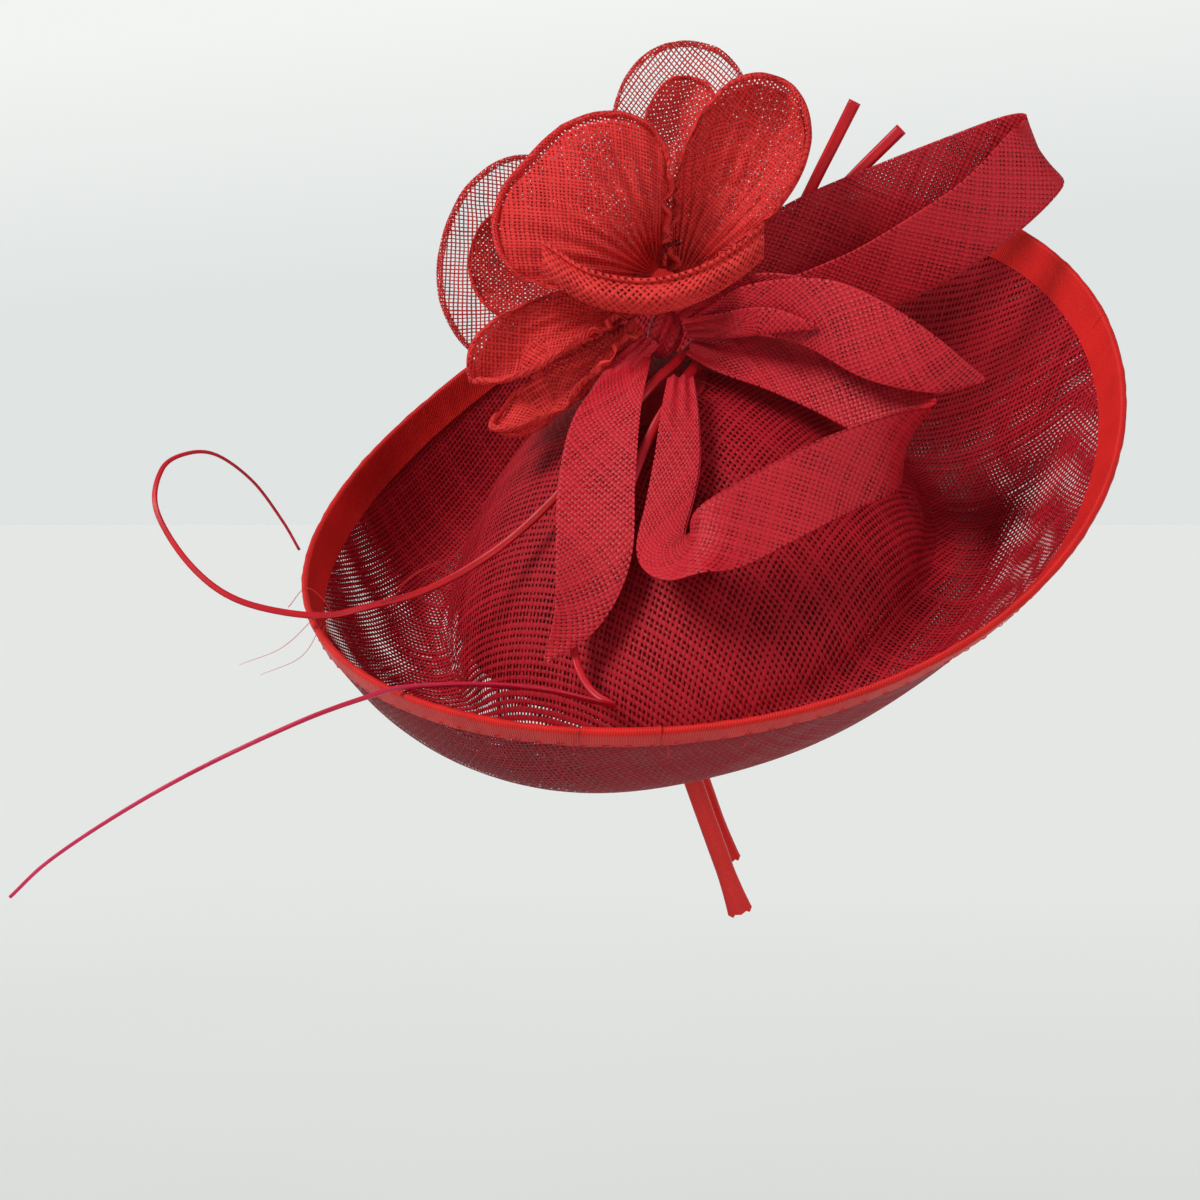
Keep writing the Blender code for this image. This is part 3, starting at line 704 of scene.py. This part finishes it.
def folded_strip(turn, depth, outer, half, puff):
    """Rows of a strip folded over the rim, from its inner edge over to its outer one."""
    rows, across = [], []
    for d in np.linspace(depth, 0.0, 9):
        rows.append(rim_line(turn, d, WIRE_LIFT + half))
        across.append(-d)
    for a in np.linspace(0, math.pi, 13)[1:-1]:
        rows.append(rim_line(turn, -BIND_FOLD - (half + puff) * math.sin(a), WIRE_LIFT + half * math.cos(a)))
        across.append(half * a)
    for d in np.linspace(0.0, outer, 9):
        rows.append(rim_line(turn, d, WIRE_LIFT - half))
        across.append(half * math.pi + d)
    return np.array(rows), np.array(across)


def binding():
    """Ribbed ribbon folded over the wire and the cloth's cut edge, a little puckered."""
    turn = np.linspace(0, 2 * math.pi, 481)
    rows, across = folded_strip(turn, BIND_DEPTH, BIND_OUTER, BIND_HALF, puff=0.25)
    run = run_along(rows[len(rows) // 2])
    pucker = 0.12 * waves(9, 6, run[None, :] / 3.0, across[:, None] / 6.0)
    rows = rows + normals_of(rows) * pucker[..., None]
    strip = cloth("edge_strip", rows, over_grid(run[None, :], across[:, None]), BINDING)
    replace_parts(strip, "edge_binding")


JOIN_TURN = math.radians(248)     # where the binding's ends are joined
JOIN_LENGTH = 27.0
JOIN_DEPTHS = (5.0, 5.5)          # how far it reaches inside the bowl and outside it
JOIN_THICKER = 0.3                # its fold goes round the binding's
JOIN_CLOTH_AT = 400               # the stretch of ribbon that its own ribs are taken from
STITCH_APART = 8.0
STITCH_HALF = 1.1          # half a stitch's length
STITCH_BOW = 0.21          # how fast its ends sink into the binding, per mm
THREAD_R = 0.16
THREAD_ENDS = ((4.42, 7, 0.5), (4.62, 5, -0.3), (4.20, 5, 0.8), (5.3, 4, -0.6))   # turn, length, lean
DISC_STITCH = ((0.950, 1.3), (0.942, 1.7), (0.928, 1.5), (0.912, 0.1))    # crown fraction, lift
TACK_AT = (-24.0, -12.0, 0.0, 12.0, 24.0)    # arc angles where the band is tacked to its base
DISC_TACKS = 16


def rim_point(turn, depth, lift):
    """One point of rim_line, which needs a neighbour on each side."""
    return rim_line(turn + np.array([-0.001, 0.0, 0.001]), depth, lift)[1]


def edge_sewing():
    """The join in the binding, its row of small stitches and a few thread ends."""
    reach = JOIN_LENGTH / RIM_R
    turn = np.linspace(JOIN_TURN - reach / 2, JOIN_TURN + reach / 2, 40)
    rows, across = folded_strip(turn, *JOIN_DEPTHS, BIND_HALF + JOIN_THICKER, puff=0.3)
    run = run_along(rows[len(rows) // 2])
    lifted = np.minimum(1, np.minimum(run, run[-1] - run) / 1.5)
    rows = rows + normals_of(rows) * (0.35 * lifted - JOIN_THICKER)[None, :, None]
    place = over_grid(run[None, :] + JOIN_CLOTH_AT, across[:, None])
    tab = cloth("edge_join", rows, place, BINDING)
    outside = WIRE_LIFT - BIND_HALF
    stitches = []
    count = int(2 * math.pi * RIM_R / STITCH_APART)
    for number in range(count):
        middle = 2 * math.pi * number / count
        depth = BIND_OUTER - 0.8 + 0.3 * math.sin(number * 2.4)
        path = [rim_point(middle + d / RIM_R, depth, outside - 0.25 + STITCH_BOW * d * d)
                for d in np.linspace(-STITCH_HALF, STITCH_HALF, 5)]
        stitches.append((path, THREAD_R))
    rods("binding_stitches", stitches, THREAD, sides=6)
    ends = []
    for turn, length, lean in THREAD_ENDS:
        foot = rim_point(turn, BIND_OUTER - 1, outside - 0.2)
        steps = np.linspace(0, 1, 12)[:, None]
        drop = np.array([lean, -0.5, -1.0 + abs(lean)]) * length
        curl = np.sin(steps * 4) * np.array([0.9, 0.2, 0.8])
        ends.append((foot + steps * drop + curl, 0.75 * THREAD_R))
    rods("thread_ends", ends, THREAD, sides=6)


# ---- headband ----
def band_point(s, out):
    """Band frame point at arc angle s, or past 90 at that many mm down the leg."""
    side = math.copysign(1.0, s)
    if abs(s) <= 90.0:
        turn, radius = math.radians(s), BAND_R + out
        return (0.0, radius * math.sin(turn), radius * math.cos(turn) - BAND_R)
    down = abs(s) - 90.0
    drop = BAND_DROP - BAND_R
    half = BAND_R - BAND_TIP_IN * (down / drop) ** 1.6
    slope = -BAND_TIP_IN * 1.6 * (down / drop) ** 0.6 / drop
    normal = unit((1.0, slope))
    return (0.0, side * (half + normal[0] * out), -BAND_R - down + normal[1] * out)


def band_sleeve(name, side):
    """Half of the satin sleeve, from the top of the band to one tip. Its cut edges meet
    inside, and its end is flared, pinched flat and cut in shallow scallops."""
    tip = 90.0 + BAND_DROP - BAND_R
    stations = np.linspace(0.0, tip, 220)
    path = from_band([band_point(side * s, BAND_T / 2) for s in stations])
    tangent = unit(np.gradient(path, axis=0))
    outward = -side * np.cross(tangent, FORWARD)
    near_tip = np.clip((stations - tip + FLARE_RUN) / FLARE_RUN, 0, 1)[:, None]
    around = np.linspace(-math.pi / 2, 1.5 * math.pi, 33)
    x = np.sign(np.cos(around)) * np.abs(np.cos(around)) ** 0.45
    y = np.sign(np.sin(around)) * np.abs(np.sin(around)) ** 0.7
    wide = BAND_W / 2 * x * (1 + TIP_FLARE * near_tip ** 1.5)
    high = BAND_T / 2 * y * (1 - 0.55 * near_tip ** 2)
    scallop = 0.7 * np.cos(x * 3 * math.pi) * near_tip ** 12
    points = (path[:, None] + FORWARD * wide[..., None] + outward[:, None] * high[..., None]
              + tangent[:, None] * scallop[..., None])
    run = run_along(path)
    uneven = waves(21, 5, run[:, None] / 9.0, x[None, :] * 1.5)
    points = points + outward[:, None] * (0.10 * uneven)[..., None]
    across = np.linspace(0, 2 * (BAND_W + BAND_T) - 1, len(around))
    place = over_grid(run[:, None], across[None, :])
    # Painted shade and highlight: the satin is painted lighter down the middle of each face and darker in
    # bands near its forward and back edges.
    folds = 0.10 * np.cos(x * 4)[None, :]
    sleeve = cloth(name, points, place, SATIN, wider=folds, body=None)
    start, end = [from_band(band_point(side * angle, BAND_T / 2)) * MM
                  for angle in (LEG_SPLIT - FLEX_SPAN, LEG_SPLIT + FLEX_SPAN)]
    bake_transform(sleeve)
    return sleeve


def tacks(base):
    """Thread that goes under the band and up into the crown base on both sides of it, and
    short stitches over the edge of the disc that the trims are sewn to."""
    routes = []
    half = BAND_W / 2 + 2 * THREAD_R
    section = ((-half, BAND_T), (-half, -2 * THREAD_R), (half, -2 * THREAD_R), (half, BAND_T))
    for angle in TACK_AT:
        round_band = from_band([np.array(band_point(angle, out)) + (x, 0, 0) for x, out in section])
        ends = [base[np.argmin(np.linalg.norm(base - corner, axis=1))] for corner in round_band[[0, -1]]]
        routes.append((smooth_path([ends[0], *round_band, ends[1]], 24), THREAD_R))
    for turn in np.linspace(0, 2 * math.pi, DISC_TACKS, endpoint=False):
        path = [from_hat(crown_ring(f, turn=np.array([turn])))[0] + HAT_UP * lift for f, lift in DISC_STITCH]
        routes.append((smooth_path(path, 10), THREAD_R))
    rods("tacks", routes, THREAD, sides=6)


def headband():
    """The satin sleeve's two halves, which meet at the top of the band."""
    right = band_sleeve("sleeve_right", -1)
    left = band_sleeve("sleeve_left", 1)
    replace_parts(right, "headband_cover", "headband_cover_right")
    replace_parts(left, "headband_cover_left")


# ---- ribbons ----
def strip_section(width, thickness, fold):
    """Across a strip folded in half: cut edge, front, fold, back and the other cut edge.
    fold is the side that the fold is on, 1 or -1. Gives offsets across and up, and the
    distance round the section."""
    across = np.concatenate([np.linspace(-0.5, 0.5, 21), [0.5] * 5, np.linspace(0.5, -0.47, 20)])
    angle = np.concatenate([np.full(21, math.pi / 2), np.linspace(60, -60, 5) * math.pi / 180,
                            np.full(20, -math.pi / 2)])
    pressed = 0.35 + 0.65 * np.clip((across + 0.5) / 0.12, 0, 1)
    x = fold * (across[None, :] * width + thickness / 2 * np.cos(angle)[None, :])
    y = thickness / 2 * (np.sin(angle) * pressed)[None, :]
    return fold * across, x, np.broadcast_to(y, x.shape)


def ribbon(name, stations, bow=0.0, fold=1, seed=1, cut=False, gather=30.0):
    """A bias strip folded in half and pressed, along its stations. It is pleated where it
    is gathered into the knot, and cut slantwise at its far end if it ends there."""
    path = even_path(stations, 1.5)
    middle, width = path[:, :3], path[:, 3:4]
    tangent = unit(np.gradient(middle, axis=0))
    side = path[:, 4:7]
    side = unit(side - (side * tangent).sum(1, keepdims=True) * tangent)
    normal = np.cross(tangent, side)
    run = run_along(middle)[:, None]
    length = run[-1, 0]
    across, x, y = strip_section(width, RIBBON_T, fold)
    c = across[None, :]
    y = y + width * bow * (0.25 - c * c) / RIBBON_W
    pinch = np.clip(1 - run / gather, 0, 1) ** 1.5
    if not cut:
        pinch = pinch + np.clip(1 - (length - run) / gather, 0, 1) ** 1.5
    y = y + 0.9 * pinch * np.sin(2 * math.pi * 2.5 * c + seed)
    y = y + 0.35 * waves(seed, 5, run / 14.0, c * 2.0)
    points = middle[:, None] + side[:, None] * x[..., None] + normal[:, None] * y[..., None]
    whole = np.clip((run / length - 0.45) / 0.15, 0, 1) if cut else 0 * run
    full_width = RIBBON_W * (1 - whole) + width * whole
    section_run = np.abs(np.diff(c, prepend=c[:, :1])).cumsum(1) * full_width
    place = turned(over_grid(run, section_run), 45)
    strip = cloth(name, from_trim(points), place, RIBBON, wider=0.12 * pinch)
    return strip


KNOT_FOLDS = (
    ((8, -7, 10, 8, -0.3, 0.9, 0.3), (24, 1, 18, 12, -0.2, 0.92, 0.3), (44, 3, 27, 13, 0.0, 0.93, 0.3),
     (66, -5, 37, 12, 0.25, 0.9, 0.1), (84, -15, 44, 2, 0.3, 0.9, 0)),
    ((9, -10, 16, 6, -0.3, 0.9, 0.3), (22, -9, 25, 9, -0.1, 0.92, 0.3), (38, -7, 34, 9, 0.1, 0.93, 0.2),
     (54, -9, 41, 2, 0.25, 0.9, 0.1)),
    ((-3, -14, 12, 7, 0.9, 0.3, 0.2), (-13, -24, 17, 11, 0.95, 0.25, 0.2), (-22, -40, 27, 12, 1, 0.1, 0.15),
     (-27, -58, 38, 2, 1, 0, 0.15)),
)


def ribbons():
    """Two loops, two pointed tails, and three short folds gathered in with them."""
    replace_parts(ribbon("strip_lower", LOOP_LOWER, fold=-1, seed=3), "loop_lower")
    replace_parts(ribbon("strip_upper", LOOP_UPPER, fold=1, seed=5), "loop_upper")
    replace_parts(ribbon("strip_forward", TAIL_FORWARD, bow=3.0, fold=1, seed=8, cut=True), "tail_forward")
    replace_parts(ribbon("strip_down", TAIL_DOWN, bow=-3.0, fold=-1, seed=11, cut=True), "tail_down")
    for number, stations in enumerate(KNOT_FOLDS):
        ribbon(f"knot_fold_{number + 1}", stations, bow=1.0, seed=20 + number, cut=True, gather=20.0)


def petal_outline(half, length, widest=0.62):
    """The petal's edge on the flat, evenly, from the root's one end round to the other, and
    its half widths from root to tip. widest is how far along it is at its full width."""
    t = 1 - (1 - np.linspace(0, 1, 300)) ** 2
    rise = PETAL_ROOT + (half - PETAL_ROOT) * np.sin(0.5 * math.pi * np.minimum(t / widest, 1)) ** 1.1
    fall = half * np.sqrt(np.maximum(0, 1 - (np.maximum(t - widest, 0) / (1 - widest)) ** 2))
    width = np.where(t < widest, rise, fall)
    one = np.stack([-width, t * length, 0 * t], 1)
    both = np.vstack([one, (one * (-1, 1, 1))[::-1][1:]])
    return spaced(both, 161)[:, :2], np.interp(np.linspace(0, 1, 300), t, width)


def rolled_edge(points, radius, towards, turns=1.15, steps=14):
    """Rows that carry a sheet's last row on into a roll, on the side that towards points to."""
    edge = points[-1]
    outward = unit(edge - points[-3])
    along = unit(np.gradient(edge, axis=0))
    up = unit(np.cross(along, outward))
    up = up * np.sign((up * towards).sum(-1, keepdims=True))
    angle = np.linspace(0, 2 * math.pi * turns, steps + 1)[1:, None, None]
    size = radius * (1 - 0.25 * angle / angle.max())
    return edge + outward * size * np.sin(angle) + up * (radius - size * np.cos(angle))


PETAL_ROOT = 3.0           # half the width that a petal is gathered into


def petal(name, root, tip, half, face, cup, belly, curl, material, pleats, pleat, seed, roll,
          turn, crumple):
    """A petal from its gathered root to a rolled round edge. Its edges rise by cup, its
    middle by belly, and its tip by curl, towards face."""
    root, tip = np.asarray(root, float), np.asarray(tip, float)
    axis = unit(tip - root)
    length = np.linalg.norm(tip - root)
    normal = np.asarray(face, float)
    normal = unit(normal - normal.dot(axis) * axis)
    side = np.cross(axis, normal)
    edge, widths = petal_outline(half, length)
    fan = np.linspace(-1, 1, len(edge))
    start = np.stack([PETAL_ROOT * fan, 0 * fan], 1)
    q = np.linspace(0, 1, 56)[:, None, None]
    flat = start + (edge - start) * q
    x, y = flat[..., 0], flat[..., 1]
    t = y / length
    own_half = np.maximum(np.interp(t, np.linspace(0, 1, 300), widths), 0.37 * half)
    rise = belly * np.sin(math.pi * t) + curl * t ** 3
    rise = rise + cup * np.sin(math.pi * np.minimum(1, t * 0.8)) * np.minimum(1, (x / own_half) ** 2)
    q = q[..., 0]
    ridge = np.abs(((fan * pleats + 0.25 * waves(seed + 1, 3, q * 4, fan * 3)) % 1.0) * 2 - 1)
    rise = rise + pleat * (ridge - 0.5) * np.exp(-1.7 * q) * np.minimum(1, q * 8)
    rise = rise + crumple * waves(seed, 7, x / 9, y / 9) * np.minimum(1, 2 * q)
    rise = rise + 0.35 * waves(seed + 2, 7, x / 3.5, y / 3.5) * np.minimum(1, 2 * q)
    points = root + side * x[..., None] + axis * y[..., None] + normal * rise[..., None]
    rolled = rolled_edge(points, roll, normal)
    place = np.stack([x * (1 + 1.2 * np.exp(-3 * np.maximum(t, 0))), y], 2)
    past = np.linspace(0, 2 * math.pi * roll * 1.1, len(rolled) + 1)[1:, None, None]
    place = np.concatenate([place, place[-1] + unit(place[-1] - place[-3]) * past])
    gathered = 0.16 * np.exp(-4 * q) + 0 * x
    dense = np.concatenate([gathered, np.full(rolled.shape[:2], 0.04)])
    points = np.concatenate([points, rolled])
    sheet = cloth(name, from_trim(points), turned(place, turn), material, wider=dense)
    return sheet


LIP_EDGE = ((-42, 9, 27), (-26, -1, 33), (-6, -4.5, 35), (12, -1, 33), (27, 7, 26), (37, 15, 18))
LIP_RISE = 11.0
LIP_OUT = 4.0
LIP_SAG = 2.0


def front_lip():
    """Lower front petal: a shallow bowl from the heart with its rim turned up in a lip."""
    edge = even_path(LIP_EDGE, 0.7)
    s = np.linspace(-1, 1, len(edge))
    start = np.stack([6.0 * s + 1.0, 1.5 * s * s - 0.6, 9.5 - 1.5 * s * s], 1)
    rows = []
    for out in np.linspace(0, 1, 40):
        sag = LIP_SAG * math.sin(math.pi * out ** 0.85)
        crease = 0.8 * (1 - out) * np.sin(s * 22)
        rows.append(start + (edge - start) * out + np.stack([0 * s, crease - sag, 0 * s], 1))
    for rise in np.linspace(0, 1, 15)[1:]:
        lean = LIP_OUT * math.sin(math.pi * rise) + 0.5 * waves(4, 4, s * 9, s * 0 + rise)
        rows.append(edge + np.stack([0 * s, LIP_RISE * rise + 0 * s, lean], 1))
    points = np.array(rows)
    points = np.concatenate([points, rolled_edge(points, 1.1, np.array([0, 0.2, 1.0]))])
    down = run_along(points[:, len(s) // 2])
    place = over_grid(s[None, :] * 50.0, down[:, None])
    lip = cloth("lip", from_trim(points), turned(place, 45), LIP)
    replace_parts(lip, "petal_lip")


def wad(name, node, centre, radii, axis, material, folds):
    """Cloth drawn up round itself into a small bundle, with folds spiralling over it."""
    across, along = radii
    axis = unit(from_trim(axis) - from_trim((0, 0, 0)))
    side = unit(np.cross(axis, (0.3, 0.2, 1.0)))
    other = np.cross(axis, side)
    polar = np.linspace(0.1, math.pi - 0.1, 60)[:, None]
    turn = np.linspace(0, 2 * math.pi, 121)[None, :]
    fold = np.abs(((turn / (2 * math.pi) * folds + polar * 0.35) % 1.0) * 2 - 1)
    reach = across * np.sin(polar) * (0.72 + 0.38 * fold)
    points = (from_trim(centre) + axis * (along * np.cos(polar) + 0 * turn)[..., None]
              + side * (reach * np.cos(turn))[..., None] + other * (reach * np.sin(turn))[..., None])
    place = over_grid(turn * across * 1.2, polar * along)
    bundle = cloth(name, points, turned(place, 45), material, wider=0.1)
    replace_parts(bundle, node)


PETALS = (
    # CAD node, root, tip, half width, facing, edge rise, middle rise, tip rise,
    # pleats, pleat depth, cloth turn, outer layer is sheer
    ("petal_back", (3, 11, -6), (12, 91, -32), 26, (0, 0.1, 1), 7, -5, 6, 7, 1.6, 35, True),
    ("petal_right", (8, 8, -1), (46, 77, -12), 22, (-0.25, 0, 1), 9, -4, 5, 6, 3.4, 10, False),
    ("petal_cup", (-1.5, 10, 4), (-43, 52, 15), 35, (0.15, 0.1, 1), -11, 12, -4, 9, 4.2, 50, False),
    ("petal_left", (-6, 5.5, -4), (-78, 19, -14), 38, (0.1, 0.05, 1), 7, -4, 5, 6, 1.6, 80, True),
    ("petal_low_upper", (-8, 1, 2), (-67, -29, 6), 13, (0.1, 0.6, 1), 8, 3, 2, 6, 2.4, 30, False),
    ("petal_low_under", (-8.5, -8, 8), (-60, -46, 20), 9, (0.2, 0.9, 0.5), 1, -3, 0, 5, 2.0, 60, False),
)


def flower():
    """Each petal is a disc of weave folded double: a front with the rolled fold round its
    edge, and a lining close behind it that is crumpled its own way."""
    for number, values in enumerate(PETALS):
        node, root, tip, half, face, cup, belly, curl, pleats, pleat, turn, sheer = values
        front = petal(f"{node}_front", root, tip, half, face, cup, belly, curl, SHEER if sheer else PETAL,
                      pleats=pleats, pleat=pleat, seed=31 + 6 * number, turn=turn, roll=1.4,
                      crumple=1.4 if sheer else 2.3)
        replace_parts(front, node)
        behind = 0.86 if sheer else 0.95
        inner_root = np.array(root) - unit(face) * 0.8
        inner_tip = np.array(root) + (np.array(tip) - root) * behind - unit(face) * 2.5
        inner_half = half * behind * (0.7 if sheer else 1)
        petal(f"{node}_lining", inner_root, inner_tip, inner_half, face, cup, belly * 0.6 - 1.5, curl, PETAL,
              pleats=pleats + 3, pleat=pleat * 1.4, seed=91 + 6 * number, turn=turn + 38, roll=0.8,
              crumple=2.6)
    front_lip()
    wad("heart", "flower_heart", (1.0, 3.5, 2.0), (4.6, 5.0), (0.1, 1.0, 0.2), PETAL, 5)


def trim_mount():
    """Small stiff disc on the crown's top that every trim is sewn to, and the knot over it."""
    rings = [crown_ring(f) for f in np.linspace(0.93, 0.9995, 14)]
    points = from_hat(rings)
    points = points + normals_of(points, wrap=True) * 1.35
    disc = cloth("mount_disc", points, np.array(rings)[..., :2], BUCKRAM, wrap=True)
    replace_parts(disc, "trim_base")
    wad("knot", "trim_knot", (2.0, -12.0, 5.5), (6.0, 9.5), (0.25, 0.95, -0.15), RIBBON, 7)


# ---- quills ----
BUTT_R = 2.0
TIP_R = 0.65


def quill(name, node, route, material):
    """A stripped feather spine, flattened and grooved, thinning from its cut butt to its tip."""
    path = from_trim(even_path(route, 1.3))
    along = np.linspace(0, 1, len(path)) ** 0.8
    radii = BUTT_R + (TIP_R - BUTT_R) * along
    spine_piece = rods(name, [(path, radii)], material, sides=20, wide=1.18, groove=0.22)
    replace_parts(spine_piece, node)


HAIRS = (
    ((-131, -107, 50), (-124, -100, 52), (-116, -108, 54), (-119, -116, 56)),
    ((-121, -110, 50), (-133, -121, 52), (-148, -127, 53)),
    ((-118, -110, 49), (-126, -124, 50), (-141, -131, 50)),
    ((-96, -106, 44), (-88, -97, 43), (-78, -92, 42)),
    ((-100, -107, 45), (-86, -95, 44), (-74, -90, 43)),
)


def hairs():
    """Fine barb hairs left on the curled quill's spine."""
    paths = [from_trim(even_path(stations, 1.2)) for stations in HAIRS]
    rods("barb_hairs", [(path, np.linspace(0.14, 0.07, len(path))) for path in paths], THREAD, sides=5)


def quills():
    """The two spines, and the hairs on one of them."""
    hairs()
    quill("spine_curled", "quill_curled", QUILL_CURLED, QUILL_RED)
    quill("spine_long", "quill_long", QUILL_LONG, QUILL_PINK)


# ---- stage ----
def floor_paint():
    """Pale paint with painted light: a little lighter into the distance."""
    material, tree, surface = new_material("floor_paint")
    place = add_node(tree, "ShaderNodeTexCoord").outputs["Object"]
    depth = Field(tree, add_node(tree, "ShaderNodeSeparateXYZ", {"Vector": place}).outputs["Y"])
    shade_and_tone = (depth * 0.35 + soft_noise(tree, place, 0.3) * 0.15 + 0.35).clamp()
    colour = blended(tree, shade_and_tone, (0.67, 0.695, 0.685), (0.88, 0.905, 0.895))
    body = add_node(tree, "ShaderNodeBsdfDiffuse", {"Color": colour})
    join(tree, body.outputs[0], surface)
    return material


def studio_air():
    """Even white light from all round, a little brighter above the horizon."""
    world = bpy.data.worlds.new("studio")
    world.use_nodes = True
    tree = world.node_tree
    direction = add_node(tree, "ShaderNodeTexCoord").outputs["Generated"]
    parts = add_node(tree, "ShaderNodeSeparateXYZ", {"Vector": direction})
    height = Field(tree, parts.outputs["Z"])
    lift = height * 16.0 - Field(tree, parts.outputs["X"]) * 1.5
    low = blended(tree, (lift + 0.1).clamp(), (0.745, 0.775, 0.765), (0.885, 0.905, 0.88))
    colour = blended(tree, ((height - 0.08) * 3.0).clamp(), low, (0.16, 0.165, 0.165))
    join(tree, colour, tree.nodes["Background"].inputs["Color"])
    return world


FLOOR_HALF = 6000
FLOOR_Z = -420


def stage():
    """Pale floor, soft lights and the camera."""
    corners = [(x * FLOOR_HALF, y * FLOOR_HALF, FLOOR_Z) for x, y in ((-1, -1), (1, -1), (1, 1), (-1, 1))]
    new_object("floor", corners, [[0, 1, 2, 3]], floor_paint(), body=None)
    bpy.context.scene.world = studio_air()
    bpy.context.scene.view_settings.view_transform = "Standard"
    soft_light("key", (-0.8, -0.5, 0.9), 2.7, (1.0, 0.985, 0.96))
    soft_light("fill", (0.75, -0.8, 0.45), 0.7, (0.97, 0.98, 1.0))
    camera = bpy.data.cameras.new("camera")
    camera.lens = 126.0
    camera.sensor_width = 36.0
    ob = add_object("camera", camera)
    ob.location = (-0.0014, -1.5475, 0.1042)
    ob.rotation_euler = (math.radians(85.0), 0.0, 0.0)
    bpy.context.scene.camera = ob


def soft_light(name, towards, strength, colour):
    """A broad distant light that shines from this direction."""
    light = bpy.data.lights.new(name, "SUN")
    light.angle = math.radians(24.0)
    light.energy = strength
    light.color = colour
    facing = Vector(towards).to_track_quat("Z", "Y").to_euler()
    add_object(name, light).rotation_euler = facing


def hardware():
    """CAD nodes that stay as they are, with their own materials."""
    for node, material in (("headband_core", CORE), ("headband_core_right", CORE),
                           ("headband_core_left", CORE), ("brim_wire", STEEL)):
        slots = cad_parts[node].data.materials
        slots.clear()
        slots.append(material)


stage()
hardware()
saucer()
base_points = crown_base()
binding()
edge_sewing()
headband()
tacks(base_points)
trim_mount()
ribbons()
flower()
quills()
